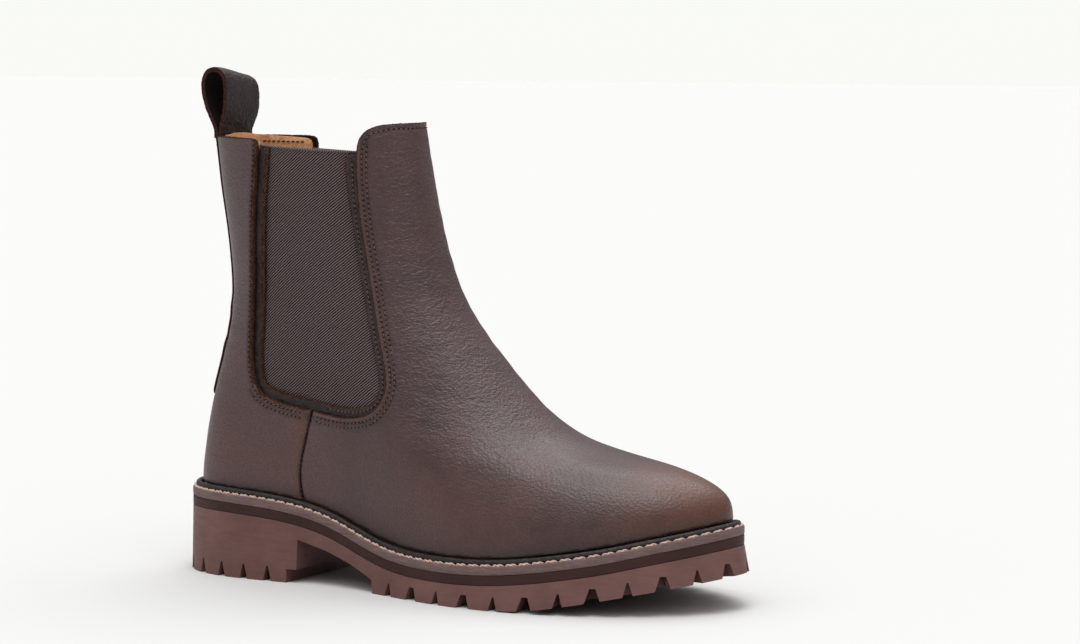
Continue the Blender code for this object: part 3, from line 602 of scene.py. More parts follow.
class Paint:
    """A node material that is put together step by step."""

    def __init__(self, name, colour, roughness, specular=0.5):
        self.made = bpy.data.materials.new(name)
        self.made.use_nodes = True
        self.tree = self.made.node_tree
        self.shader = self.tree.nodes["Principled BSDF"]
        self.set("Base Color", (*srgb(colour), 1.0))
        self.set("Roughness", roughness)
        self.set("Specular IOR Level", specular)
        self.made.diffuse_color = (*srgb(colour), 1.0)

    def set(self, socket, value):
        self.shader.inputs[socket].default_value = value

    def node(self, kind, settings=None, **inputs):
        made = self.tree.nodes.new(kind)
        for label, value in (settings or {}).items():
            setattr(made, label, value)
        for label, value in inputs.items():
            self.feed(made.inputs[label.replace("_", " ")], value)
        return made

    def feed(self, socket, value):
        if isinstance(value, bpy.types.NodeSocket):
            self.tree.links.new(value, socket)
        else:
            socket.default_value = value

    def place(self, scale=(1, 1, 1), uv=False, turn=0.0):
        """Coordinates in millimetres: on the sheet where uv is set, else in space."""
        where = self.node("ShaderNodeTexCoord").outputs["UV" if uv else "Object"]
        per_unit = 1.0 if uv else 1 / MM
        return self.node("ShaderNodeMapping", Vector=where, Scale=tuple(per_unit * s for s in scale),
                         Rotation=(0, 0, turn)).outputs[0]

    def noise(self, size, detail=3.0, roughness=0.55, where=None, distortion=0.0):
        """Noise whose features are about size millimetres across."""
        where = where or self.place()
        return self.node("ShaderNodeTexNoise", Vector=where, Scale=1.0 / size, Detail=detail,
                         Roughness=roughness, Distortion=distortion).outputs[0]

    def cells(self, size, where=None):
        made = self.node("ShaderNodeTexVoronoi", {"feature": "SMOOTH_F1"}, Vector=where or self.place(),
                         Scale=1.0 / size)
        return made.outputs["Distance"]

    def value(self, name):
        return self.node("ShaderNodeAttribute", {"attribute_name": name}).outputs["Fac"]

    def feed_all(self, made, values):
        for index, value in values.items():
            self.feed(made.inputs[index], (*srgb(value), 1.0) if isinstance(value, str) else value)

    def math(self, operation, a, b=0.0, clamp=False):
        made = self.node("ShaderNodeMath", {"operation": operation, "use_clamp": clamp})
        self.feed_all(made, {0: a, 1: b})
        return made.outputs[0]

    def span(self, value, low, high, out_low=0.0, out_high=1.0):
        made = self.node("ShaderNodeMapRange")
        self.feed_all(made, dict(enumerate((value, low, high, out_low, out_high))))
        return made.outputs[0]

    def mix(self, amount, a, b):
        made = self.node("ShaderNodeMix", {"data_type": "RGBA"})
        self.feed_all(made, {0: amount, 6: a, 7: b})
        return made.outputs[2]

    def bump(self, height, depth, strength=1.0, below=None):
        """Relief of depth millimetres, over any relief below it."""
        made = self.node("ShaderNodeBump", Height=height, Distance=depth * MM, Strength=strength)
        if below is not None:
            self.feed(made.inputs["Normal"], below)
        return made.outputs[0]

    def link(self, socket, value):
        self.tree.links.new(value, self.shader.inputs[socket])


def rubbed(paint, base):
    """Shows the leather's bare fibres where its attribute worn says so."""
    fibre = paint.span(paint.noise(0.7, 4.0, 0.75), 0.46, 0.72)
    return paint.mix(paint.value("worn"), base, paint.mix(fibre, "#150b0a", "#6b4029"))


def outer_leather():
    """Oiled leather: cloudy dark brown, warm where it is stretched, with a pebbled grain and creases."""
    paint = Paint("boot_leather", "#3f3030", 0.42, 0.5)
    cloud = paint.noise(34, 2.0, 0.5)
    patch = paint.noise(9, 4.0, 0.6)
    fleck = paint.noise(0.9, 3.0, 0.65)
    base = paint.mix(paint.span(cloud, 0.36, 0.64), "#3b2828", "#4a3131")
    base = paint.mix(paint.span(patch, 0.42, 0.72, 0.0, 0.5), base, "#523938")
    # Painted light from the pale attribute: the back quarters and a band low on the sides are made paler,
    # standing in for light from behind and from the floor.
    base = paint.mix(paint.value("pale"), base, "#5c4648")
    warmed = paint.math("MULTIPLY", paint.value("warm"), paint.span(patch, 0.25, 0.65, 0.65, 1.1), True)
    base = paint.mix(warmed, base, "#603728")
    base = paint.mix(paint.span(fleck, 0.38, 0.62, 0.0, 0.4), base, "#201415")
    # Painted shade from the shade attribute: near-black in the seam and row grooves and low down by the welt.
    base = paint.mix(paint.value("shade"), base, "#170d0d")
    base = rubbed(paint, base)
    paint.link("Base Color", base)
    mottle = paint.span(fleck, 0.3, 0.7, -0.04, 0.08)
    rough = paint.math("ADD", paint.span(patch, 0.3, 0.7, 0.36, 0.46), mottle)
    paint.link("Roughness", paint.math("ADD", rough, paint.math("MULTIPLY", paint.value("worn"), 0.4), True))
    pebble = paint.cells(1.15, paint.place((1.0, 1.0, 1.2)))
    pore = paint.noise(0.42, 2.0, 0.5)
    fold = paint.noise(1.0, 3.0, 0.5, paint.place((0.36, 0.36, 0.74)), 0.8)
    grain = paint.bump(pebble, 0.22, 0.8)
    grain = paint.bump(pore, 0.06, 0.6, grain)
    height = paint.math("MULTIPLY", fold, paint.value("crease"))
    paint.link("Normal", paint.bump(height, 0.75, 0.8, grain))
    return paint.made


# Roughness, specular level, size, detail and harshness of the grain, span of its tones, and its relief.
RAW_EDGE = (0.9, 0.15, 0.65, 4.0, 0.75, 0.42, 0.7, 0.45, 0.8)
FLESH_SIDE = (0.95, 0.1, 0.9, 5.0, 0.75, 0.4, 0.7, 0.6, 0.8)
THREAD = (0.7, 0.3, 0.35, 3.0, 0.7, 0.35, 0.65, 0.12, 0.7)


def grainy(name, look, dark, light, metallic=0.0):
    """Fibres or grains in two tones: a cut edge, the inner face of leather, thread, cork or board."""
    roughness, specular, size, detail, harshness, start, end, depth, strength = look
    paint = Paint(name, dark, roughness, specular)
    paint.set("Metallic", metallic)
    grain = paint.noise(size, detail, harshness)
    paint.link("Base Color", paint.mix(paint.span(grain, start, end), dark, light))
    paint.link("Normal", paint.bump(grain, depth, strength))
    return paint.made


def plain_stock(name, dark, light, roughness, size, metallic=0.0):
    """Hidden build material."""
    return grainy(name, (roughness, 0.4, size, 4.0, 0.65, 0.35, 0.65, 0.15, 0.6), dark, light, metallic)


def strap_leather(name, colour, light):
    paint = Paint(name, colour, 0.6, 0.35)
    patch = paint.noise(7, 4.0, 0.6)
    base = paint.mix(paint.span(patch, 0.35, 0.7), colour, light)
    base = paint.mix(paint.span(paint.noise(0.8), 0.4, 0.65, 0.0, 0.4), base, "#120b0b")
    base = rubbed(paint, base)
    paint.link("Base Color", base)
    paint.link("Roughness", paint.span(patch, 0.3, 0.7, 0.46, 0.60))
    grain = paint.bump(paint.cells(1.6), 0.35, 0.8)
    fold = paint.noise(1.0, 3.0, 0.55, paint.place((0.28, 0.28, 0.5)), 0.9)
    paint.link("Normal", paint.bump(fold, 0.9, 0.8, grain))
    return paint.made


WEAVE_PITCH = 1.1
WEAVE_ANGLE = math.radians(37)


def elastic_web():
    """Twill webbing: taupe ribs that rise forwards over near-black rubber, made of short yarn floats."""
    paint = Paint("elastic_webbing", "#473d3d", 0.85, 0.2)
    ribs_at = paint.place(uv=True, turn=-WEAVE_ANGLE)
    split = paint.node("ShaderNodeSeparateXYZ", Vector=ribs_at)
    drift = paint.span(paint.noise(2.5, 2.0), 0.3, 0.7, -0.10, 0.10)
    phase = paint.math("ADD", paint.math("DIVIDE", split.outputs["Y"], WEAVE_PITCH), drift)
    rib = paint.math("SINE", paint.math("MULTIPLY", phase, 2 * math.pi))
    rib = paint.span(rib, -1.0, 1.0)
    upright = paint.node("ShaderNodeSeparateXYZ", Vector=paint.place(uv=True))
    yarn = paint.math("SINE", paint.math("MULTIPLY", upright.outputs["X"], 2 * math.pi / 0.62))
    yarn = paint.span(yarn, -1.0, 1.0)
    lit = paint.math("MULTIPLY", paint.span(rib, 0.30, 0.85), paint.span(yarn, 0.0, 0.7, 0.55, 1.0))
    fleck = paint.span(paint.noise(0.5, 3.0, 0.7), 0.3, 0.7, 0.75, 1.2)
    lit = paint.math("MULTIPLY", lit, fleck, True)
    base = paint.mix(lit, "#0d0809", "#7d6b6b")
    paint.link("Base Color", base)
    height = paint.math("ADD", paint.math("MULTIPLY", rib, 0.8), paint.math("MULTIPLY", yarn, 0.2))
    paint.link("Normal", paint.bump(height, 0.35, 0.9))
    return paint.made


def woven_edge():
    """The webbing's finished edge, with pale cross threads."""
    paint = Paint("webbing_edge", "#5e5352", 0.85, 0.2)
    split = paint.node("ShaderNodeSeparateXYZ", Vector=paint.place(uv=True))
    bars = paint.math("SINE", paint.math("MULTIPLY", split.outputs["X"], 2 * math.pi / 0.9))
    bars = paint.span(bars, -0.4, 0.8)
    paint.link("Base Color", paint.mix(bars, "#241d1e", "#857776"))
    paint.link("Normal", paint.bump(bars, 0.25, 0.8))
    return paint.made


def lining_leather():
    paint = Paint("tan_lining", "#b07d50", 0.62, 0.3)
    patch = paint.noise(12, 3.0, 0.6)
    base = paint.mix(paint.span(patch, 0.35, 0.65), "#d6976a", "#f0bc90")
    base = paint.mix(paint.span(paint.noise(0.7), 0.42, 0.6, 0.0, 0.4), base, "#7c4d2b")
    paint.link("Base Color", base)
    grain = paint.bump(paint.cells(0.9), 0.10, 0.5)
    paint.link("Normal", paint.bump(paint.noise(3.5, 3.0), 0.3, 0.4, grain))
    return paint.made


def moulded_rubber(name, colour, light, dark, roughness):
    """Sole rubber with faint drawn-out marks from its mould."""
    paint = Paint(name, colour, roughness, 0.35)
    streak = paint.noise(1.0, 4.0, 0.6, paint.place((0.12, 0.12, 0.7)))
    cloud = paint.noise(18, 3.0, 0.6)
    base = paint.mix(paint.span(cloud, 0.3, 0.7), colour, light)
    base = paint.mix(paint.span(streak, 0.45, 0.75, 0.0, 0.25), base, dark)
    paint.link("Base Color", base)
    paint.link("Roughness", paint.span(streak, 0.3, 0.7, roughness - 0.05, roughness + 0.08))
    fine = paint.bump(paint.noise(0.35, 2.0), 0.03, 0.5)
    paint.link("Normal", paint.bump(streak, 0.06, 0.4, fine))
    return paint.made


def welting():
    paint = Paint("welting", "#5c4c4a", 0.62, 0.3)
    fibre = paint.noise(1.0, 4.0, 0.65, paint.place((0.12, 0.12, 1.4)))
    base = paint.mix(paint.span(fibre, 0.35, 0.7), "#5f4b4a", "#7d6663")
    base = paint.mix(paint.span(paint.noise(0.6), 0.45, 0.65, 0.0, 0.3), base, "#2f2424")
    paint.link("Base Color", base)
    paint.link("Normal", paint.bump(fibre, 0.12, 0.6, paint.bump(paint.noise(0.45), 0.05, 0.5)))
    return paint.made


# ---------------------------------------------------------------- sole

OUTSOLE_STATIONS, BAND_STATIONS, BEAD_STATIONS, STITCH_STATIONS = 480, 560, 700, 4000
OUTSOLE_SPACING = 12.0
OUTSOLE_SHARP = math.radians(32)
OUTSOLE_BEVEL = 0.45
MIDSOLE_OVERLAP = 0.12


def arch_gap():
    """Points and faces of the gap between heel and forefoot: a side-view outline pushed along Y."""
    verts = [(x, y, z) for y in (-ARCH_REACH, ARCH_REACH) for x, z in ARCH]
    return verts, tube_faces(2, len(ARCH))


def notch(centre, inward, along, ground_z, top_z, mouth, root, reach):
    """A lug gap as a wedge. Mouth and root are half its widths at the ground and at its top."""
    spread = mouth + (mouth - root) * BELOW_GROUND / (top_z - ground_z)
    low_z = ground_z - BELOW_GROUND
    corners = ((-spread, low_z), (spread, low_z), (root, top_z), (-root, top_z))
    verts = []
    for push in (-NOTCH_OVERSHOOT, reach):
        for half, z in corners:
            verts.append((*(np.asarray(centre) + np.multiply(inward, push) + np.multiply(along, half)), z))
    return verts, tube_faces(2, len(corners))


def edge_stations(first_x, pitch, through_toe):
    """Places at even steps of about pitch along the sole's edge, between the two sides at first_x."""
    c = np.linspace(-1, 1, 4001) if through_toe else np.linspace(0, 2, 4001)
    edge = EDGE(c)
    kept = c[edge[:, 0] >= first_x] if through_toe else c[edge[:, 0] <= first_x]
    travelled = path_length(EDGE(kept))
    count = round(travelled[-1] / pitch)
    return np.interp(np.linspace(0, travelled[-1], count + 1), travelled, kept)


def tread_notches():
    """Gaps between the edge lugs: wide and narrow in turn round the forefoot, narrow round the heel."""
    places = [(c, WIDE_NOTCH if i % 2 else NARROW_NOTCH, float(tread_z(EDGE(c)[0])), TREAD_DEPTH)
              for i, c in enumerate(edge_stations(FOREFOOT_START, FOREFOOT_PITCH, True))]
    places += [(c, NARROW_NOTCH, 0.0, HEEL_TREAD_DEPTH) for c in edge_stations(HEEL_START, HEEL_PITCH, False)]
    return [notch(EDGE(c), *edge_directions(c), ground, ground + depth, *sizes)
            for c, sizes, ground, depth in places]


def tread_grooves():
    """Grooves across the middle of the tread, which leave rows of inner lugs."""
    places = [(x, 26.0 if x < 90 else 18.0, float(tread_z(x)), 4.0) for x in FOREFOOT_GROOVES]
    places += [(x, 16.0, 0.0, 4.5) for x in HEEL_GROOVES]
    return [notch((x, -half), (0, 1), (1, 0), ground, ground + depth, *GROOVE, 2 * half)
            for x, half, ground, depth in places]


def cut(obj, solids):
    """Takes the solids out of a mesh object."""
    cutter = add_piece("cutter", *gather(solids), [])
    modifier = obj.modifiers.new("cut", "BOOLEAN")
    modifier.solver = "EXACT"
    modifier.use_self = True
    modifier.object = cutter
    apply_modifiers(obj)
    bpy.data.objects.remove(cutter)


def apply_modifiers(obj):
    """Bakes the modifiers into the mesh."""
    graph = bpy.context.evaluated_depsgraph_get()
    mesh = bpy.data.meshes.new_from_object(obj.evaluated_get(graph))
    obj.modifiers.clear()
    obj.data = mesh


def sole_block(c, paint):
    """The outsole before its gaps are cut. Its walls flare out towards the ground."""
    edge = sole_edge(c)
    flare = HEEL_FLARE + (TOE_FLARE - HEEL_FLARE) * ease(0.5 + edge[:, 0] / LENGTH)
    flat, faces = triangulate([edge], OUTSOLE_SPACING)
    top = np.column_stack([flat, TOP_Z(flat[:, 0]) + MIDSOLE_OVERLAP])
    bottom = np.column_stack([flat, tread_z(flat[:, 0])])
    bottom[:len(c), :2] = sole_edge(c, -flare)
    return add_piece("outsole_lugs", *thicken(top, bottom, faces, border_edges(faces)), [paint])


def make_outsole(paint):
    outsole = sole_block(even_turns(OUTSOLE_STATIONS), paint)
    for solids in ([arch_gap()], tread_notches(), tread_grooves()):
        cut(outsole, solids)
    outsole.data.shade_smooth()
    outsole.data.set_sharp_from_angle(angle=OUTSOLE_SHARP)
    bevel = outsole.modifiers.new("soft_edges", "BEVEL")
    bevel.width = OUTSOLE_BEVEL * MM
    bevel.segments = 2
    bevel.limit_method = "ANGLE"
    bevel.angle_limit = OUTSOLE_SHARP
    bevel.harden_normals = True
    even = outsole.modifiers.new("even_shading", "WEIGHTED_NORMAL")
    even.keep_sharp = True
    apply_modifiers(outsole)
    keep(outsole, "foot", "outsole_rubber", "outsole")


def sole_path(stations, inset, base):
    """A path round the sole, inset from its edge at the heights base gives, and its inward directions."""
    c = even_turns(stations)
    edge = sole_edge(c, inset)
    inward = np.column_stack([edge_directions(c)[0], np.zeros(stations)])
    return np.column_stack([edge, base(edge[:, 0])]), inward


MIDSOLE_SECTION = [
    (0.35, -0.12), (0.08, 0.1), (0.0, 0.6), (0.0, 3.8), (0.08, 4.3), (0.35, 4.42), (16, 4.42), (16, -0.12),
]
WELT_SECTION = [
    (0.35, -0.12), (0.06, 0.12), (-0.05, 0.7), (-0.08, 2.2), (-0.02, 3.5), (0.18, 3.92), (0.5, 4.06),
    (0.72, 3.82), (1.4, 3.78), (1.75, 4.1), (14.0, 4.1), (14.0, 0.0),
]
STITCH_INSET = 1.1
BEAD_INSET = WELT_INSET - BEAD_RADIUS - 0.8
BEAD_SPLICE_X = 27.0
BEAD_SKIRT = 1.15


def make_sole_bands(midsole_paint, welt_paint, bead_paint):
    path, inward = sole_path(BAND_STATIONS, 0.0, midsole_bottom)
    midsole = sweep("midsole_band", path, inward, MIDSOLE_SECTION, midsole_paint)
    keep(midsole, "foot", "midsole_rubber", "midsole")
    path, inward = sole_path(BAND_STATIONS, 0.0, welt_bottom)
    welt = sweep("welt_band", path, inward, WELT_SECTION, welt_paint)
    keep(welt, "foot", "welt_strip", "welt")
    path, inward = sole_path(BEAD_STATIONS, BEAD_INSET, lambda x: welt_top(x) + BEAD_RADIUS + 0.05)
    lumps = np.array([noise.noise(Vector((x / 9, y / 9, 3.0))) for x, y, _ in path])
    splice = bell(path[:, 0] - BEAD_SPLICE_X, 2.5) * (path[:, 1] < 0)
    girth = 1 + 0.05 * lumps + 0.14 * splice
    ring = circle(BEAD_RADIUS, 12, 0.92)
    ring[:, 0] *= np.where(ring[:, 1] < 0, BEAD_SKIRT, 1.0)
    bead = sweep("storm_bead", path, inward, ring[None] * girth[:, None, None], bead_paint)
    keep(bead, "foot", "welt_strip", "rand_bead")


WELT_STITCH_HEEL, WELT_STITCH_TOE = 5.2, 6.5
PLY_RADIUS, PLY_OFFSET = 0.46, 0.3


def make_welt_stitches(paint):
    """Two-ply thread in slanted stitches along the welt, each one dipping into it at both ends."""
    path, inward = sole_path(STITCH_STATIONS, STITCH_INSET, welt_top)
    travelled = path_length(path)
    reach = np.linspace(0, 1, 15)
    made, start = [], 0.0
    while start < travelled[-1] - WELT_STITCH_HEEL:
        x = np.interp(start, travelled, path[:, 0])
        pitch = WELT_STITCH_HEEL + (WELT_STITCH_TOE - WELT_STITCH_HEEL) * ease((x + 60) / 90)
        where = start + (0.06 + 0.88 * reach) * pitch
        line, across = follow(path, travelled, where), follow(inward, travelled, where)
        arch = 0.42 * (1 - (2 * reach - 1) ** 4) - 0.30
        slant = 0.75 * (reach - 0.5)
        for ply in (0.0, math.pi):
            turn = ply + reach * 2.2 * math.pi
            away = slant + PLY_OFFSET * np.cos(turn)
            rise = arch + PLY_OFFSET * np.sin(turn)
            made.append(strand(line + across * away[:, None] + rise[:, None] * UPWARDS, PLY_RADIUS, 6))
        start += pitch
    keep(add_piece("welt_stitches", *gather(made), [paint]), "foot", "welt_thread", "welt_stitching")


# ---------------------------------------------------------------- upper

GORE_LINE = smooth_line(GORE_OPENING, 240)
SEAM_LINE = smooth_line(SIDE_SEAM, 40)
ROWS = (2.5, 4.6)
REAR_ROW = 2.3
DOUBLE_FROM_Z = 90.0
TOP_ROW = 2.4
ROW_SINK, SEAM_SINK = 0.4, 0.75
LOWEST_ROW_Z = 70.0
FAR = 99.0
SEAM_FOOT = int(np.argmin(np.abs(GORE_LINE[:, 0] - SIDE_SEAM[0][0]) + (GORE_LINE[:, 1] > 100) * 500))
TAB_LINE = np.array(TAB_TOP)


def keep(piece, body, slot, *nodes):
    """Attaches a piece to its body's empty, or for back, gore and strap only bakes its transform, and hides
    the nodes that it stands for. Slot is not used.
    """
    if body == "back":
        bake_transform(piece)
    elif body == "gore":
        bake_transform(piece)
    elif body == "strap":
        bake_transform(piece)
    else:
        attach(piece, body)
    if nodes:
        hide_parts(*nodes)
    return piece


def wave(points, across, up, seed):
    """Noise stretched sideways: across and up are its sizes."""
    scale = np.array([1 / across, 1 / across, 1 / up])
    return np.array([noise.noise(Vector(p)) for p in points * scale + seed])


def folds(skin):
    """Natural relief of the leather, in millimetres outwards."""
    x, z = skin[:, 0], skin[:, 2]
    instep = ease((x + 30) / 35) * ease((92 - x) / 50) * ease((z - 48) / 16)
    ankle = ease((-88 - x) / 25) * bell(z - 118, 24)
    shaft = ease((z - 120) / 40) * ease((x + 70) / 20)
    relief = 0.28 * wave(skin, 42.0, 36.0, 1.7)
    relief += (0.30 * instep + 0.12 * shaft) * wave(skin, 21.0, 5.2, 5.1)
    relief += 0.45 * ankle * wave(skin, 15.0, 6.5, 9.3)
    return relief * ease((z - welt_top(x) - 2) / 12)


def distance_from(line, skin, above=0.0):
    """Distance from a line in side view. Places that aren't above a height count as far away."""
    return line_distance(skin[:, [0, 2]], line) + FAR * (skin[:, 2] < above)


def row_sink(distance, rows):
    return sum(ROW_SINK * bell(distance - row, 0.6) for row in rows)


def seam_sink(skin):
    return SEAM_SINK * bell(distance_from(SEAM_LINE, skin), 1.5)


def vamp_depth(c, t, skin):
    round_gore = row_sink(distance_from(GORE_LINE, skin, LOWEST_ROW_Z), ROWS)
    sink = np.maximum(round_gore, row_sink(distance_from(TAB_LINE, skin, 190), (TOP_ROW,)))
    return sink + seam_sink(skin) - folds(skin)


def quarter_depth(c, t, skin):
    from_gore = distance_from(GORE_LINE, skin)
    double = skin[:, 2] < DOUBLE_FROM_Z
    sink = np.where(double, row_sink(from_gore, ROWS), row_sink(from_gore, (REAR_ROW,)))
    return sink + seam_sink(skin) - folds(skin)


def leather_values():
    """Where the leather is warm in colour and creased, and where painted shade and painted light go on it."""

    def warm(c, t, skin):
        x, _, z = skin.T
        from_gore = distance_from(GORE_LINE, skin, LOWEST_ROW_Z)
        from_seam = distance_from(SEAM_LINE, skin)
        toe = 0.95 * ease((x - 84) / 52)
        band = 0.75 * bell(np.maximum(SEAM_LINE[:, 0].mean() + 3 - x, 0) - 1, 7.5) * bell(from_seam, 9.0)
        behind = x < np.interp(z, SEAM_LINE[::-1, 1], SEAM_LINE[::-1, 0])
        edge = 0.45 * bell(from_gore, 2.6)
        side = 0.30 * bell(x - 25, 45) * bell(z - 45, 16) + 0.25 * ease((-20 - x) / 60) * bell(z - 60, 18)
        return np.clip(toe + band * behind + edge + side, 0, 1)

    def crease(c, t, skin):
        x, _, z = skin.T
        instep = ease((x + 45) / 40) * ease((85 - x) / 55) * ease((z - 50) / 25)
        ankle = 0.7 * ease((-90 - x) / 20) * bell(z - 120, 28)
        shaft = 0.3 * ease((z - 130) / 30) * ease((x + 50) / 20)
        return np.clip(0.06 + 0.1 * ease((90 - x) / 40) + 0.75 * instep + ankle + shaft, 0, 1)

    # Painted shade: darker low down where the upper meets the welt, along the side seam and in the grooves of
    # the rows round the gore.
    def shade(c, t, skin):
        x, _, z = skin.T
        foot = 0.45 * bell(z - welt_top(x) - 2, 5.0)
        seam = 0.5 * bell(distance_from(SEAM_LINE, skin), 0.8)
        from_gore = distance_from(GORE_LINE, skin, LOWEST_ROW_Z)
        double = (x > -60) | (z < DOUBLE_FROM_Z)
        rows = 0.75 * bell(from_gore - ROWS[0], 0.7) + 0.75 * bell(from_gore - ROWS[1], 0.7) * double
        return np.clip(foot + seam + rows, 0, 1)

    # Painted light: paler towards the back of the quarters and in a band low on the sides, where light from
    # behind and from the floor falls.
    def pale(c, t, skin):
        x, _, z = skin.T
        return np.clip(0.55 * ease((-38 - x) / 25) + 0.35 * bell(z - 45, 16) * ease((70 - x) / 50), 0, 0.6)

    def worn(c, t, skin):
        from_gore = distance_from(GORE_LINE, skin, 92)
        width = np.where(skin[:, 0] < GORE_MIDDLE_X, 2.0, 0.3)
        return 1 - ease((from_gore - width) / 0.7)

    return {"warm": warm, "crease": crease, "shade": shade, "pale": pale, "worn": worn}


def height_at_back(z):
    """The t at which the back of the skin reaches a height."""
    t = np.linspace(-4, 190, 389)
    return float(np.interp(z, SKIN(np.ones_like(t), t)[:, 2], t))


def vamp_loop(inset=0.0, feather=0.0, top=0.0):
    """Outline of the front panel in (c, t): both sides of the foot, the instep and the front of the shaft."""
    half = []
    for side in (LATERAL, MEDIAL):
        line = offset_line(GORE_LINE, inset)
        edge = [tuple(p) for p in line[SEAM_FOOT + 1::2] if p[1] < 205 or p[0] < -60]
        seam = [(x + 0.3 + inset, z) for x, z in SEAM_LINE[::-4]]
        tab = [(x + inset, z - top) for x, z in smooth_line(TAB_TOP, 16)[:-1]]
        outline = locate(side, seam + edge + tab)
        outline[0][1] = feather
        half.append(outline)
    crown = locate(LATERAL, [(TAB_TOP[-1][0] - 0.5, TAB_TOP[-1][1] - top)])[0][1]
    lateral, medial = half
    return np.concatenate([lateral, [(0.0, crown)], medial[::-1]])


def quarter_loop(side, inset=0.0, feather=0.0, seam_gap=0.35, top_z=COLLAR_BACK_Z):
    """Outline of a back panel in (c, t), from the centre-back seam to the gore and the side seam."""
    line = offset_line(GORE_LINE, inset)
    rear = [tuple(p) for p in line[:SEAM_FOOT:2] if p[1] < top_z - 2.5]
    x = rear[0][0]
    top = [(x - 4.5, top_z), (x - 2.4, top_z - 0.3), (x - 0.8, top_z - 1.2)]
    foot = [(x - 0.3 - inset, z) for x, z in SEAM_LINE[::4]]
    outline = locate(side, top + rear + foot)
    outline[-1][1] = feather
    back = side * (1.0 - seam_gap / 150.0)
    return np.concatenate([[(back, height_at_back(top_z))], outline, [(back, feather)]])


def raw_border(c, t, skin):
    """Whether the edge is a bare cut, as it is round the gore and along the top."""
    return (skin[:, 2] > 76) & (distance_from(SEAM_LINE, skin) > 1.2)


def make_uppers(paint, edge_paint, flesh_paint):
    coats = [paint, edge_paint, flesh_paint]
    looks = leather_values()
    rings = (EDGE_BEVEL, 1.6, 2.4, 3.4, 4.6, 5.6)
    vamp = sheet("vamp_leather", [vamp_loop(feather=2.0)], vamp_depth, UPPER_THICKNESS, coats, rings=rings,
                 fuzz=0.28, values=looks, raw=raw_border)
    keep(vamp, "foot", "leather_dark_brown", "vamp")
    for side, word in SIDES:
        quarter = sheet("quarter_leather_" + word, [quarter_loop(side, feather=2.0)], quarter_depth,
                        UPPER_THICKNESS, coats, rings=rings, fuzz=0.28, values=looks, raw=raw_border)
        keep(quarter, "back", "leather_dark_brown", "quarter_" + word, "shaft_quarter_" + word)


FACING_TOP_FRONT, FACING_TOP_REAR = 202.2, 204.6
FACING_WIDE_FROM_Z = 170.0


def facing_loop(side):
    """Outline of the leather strip that frames the webbing, in (c, t)."""
    tucked = offset_line(GORE_LINE, FACING_TUCK)
    front = np.arange(len(GORE_LINE)) > SEAM_FOOT
    z = GORE_LINE[:, 1]
    extra = np.where(front, 1.4 * ease((z - FACING_WIDE_FROM_Z) / 30), 1.1 * ease((z - 98) / 22))
    inner = np.stack([offset_line(GORE_LINE, -FACING_WIDTH - e)[i] for i, e in enumerate(extra)])
    drop = MEDIAL_GORE_DROP if side == MEDIAL else 0.0
    front_top, rear_top = FACING_TOP_FRONT - drop, FACING_TOP_REAR - drop
    outer = tucked[tucked[:, 1] < np.where(front, front_top, rear_top)][::2].tolist()
    inside_line = inner[inner[:, 1] < np.where(front, front_top - 2.0, rear_top)][::2].tolist()
    x, z = inside_line[-1]
    corner = [(x + 0.5, front_top - 0.7), (x + 1.8, front_top)]
    return locate(side, outer + [(outer[-1][0], front_top + 0.8)] + corner[::-1] + inside_line[::-1])


MEDIAL_GORE_DROP = 3.0


def web_loop(side):
    """Outline of the webbing, in (c, t)."""
    under = offset_line(GORE_LINE, 1.0)
    web = [tuple(p) for p in under if p[1] < 198][::2]
    front, rear = web[-1][0], web[0][0]
    rise = GORE_TOP_REAR - GORE_TOP_FRONT
    low = GORE_TOP_FRONT - (MEDIAL_GORE_DROP if side == MEDIAL else 0.0)
    dip = [(front + (rear - front) * f, low + rise * f - 1.2 * f * (1 - f)) for f in np.linspace(0, 1, 14)]
    return locate(side, web + dip), dip


def web_depth(c, t, skin):
    """The webbing lies behind the leather and is drawn in a little at mid height."""
    return GORE_DEPTH + 0.5 * bell(skin[:, 2] - 150, 45) + 0.15 * wave(skin, 12.0, 30.0, 4.4)


def facing_worn(c, t, skin):
    """The strip's bare inner edge, which is broad at the back of the gore."""
    width = np.where(skin[:, 0] < GORE_MIDDLE_X, 1.4, 0.4)
    return ease((distance_from(GORE_LINE, skin) - FACING_WIDTH + width) / 0.6)


def facing_depth(c, t, skin):
    row = bell(distance_from(GORE_LINE, skin) - FACING_ROW, 0.5)
    return FACING_DEPTH + 0.22 * row * (skin[:, 0] > GORE_MIDDLE_X)


def side_view_uv(c, t, skin):
    return skin[:, [0, 2]]


def make_gores(web_paint, web_edge_paint, facing_paint, edge_paint, flesh_paint):
    for side, word in SIDES:
        loop, top = web_loop(side)
        web = sheet("gore_web_" + word, [loop], web_depth, GORE_THICKNESS, [web_paint], spacing=2.6, rings=(),
                    bevel=0.1, uv=side_view_uv)
        keep(web, "gore", "elastic_webbing", "gore_" + word)
        c, t = locate(side, resample(top, 1.0)).T
        out = skin_normal(c, t)
        path = SKIN(c, t) - out * (web_depth(c, t, SKIN(c, t)) + GORE_THICKNESS / 2)[:, None]
        roll = sweep("gore_web_edge_" + word, path, out, circle(0.75, 10, 0.9), web_edge_paint, False)
        keep(roll, "gore", "elastic_webbing")
        facing = sheet("gore_facing_" + word, [facing_loop(side)], facing_depth, FACING_THICKNESS,
                       [facing_paint, edge_paint, flesh_paint], spacing=1.5, rings=(EDGE_BEVEL, 1.3, 2.2),
                       fuzz=0.25, values={"worn": facing_worn})
        keep(facing, "gore", "facing_leather", "gore_facing_" + word)


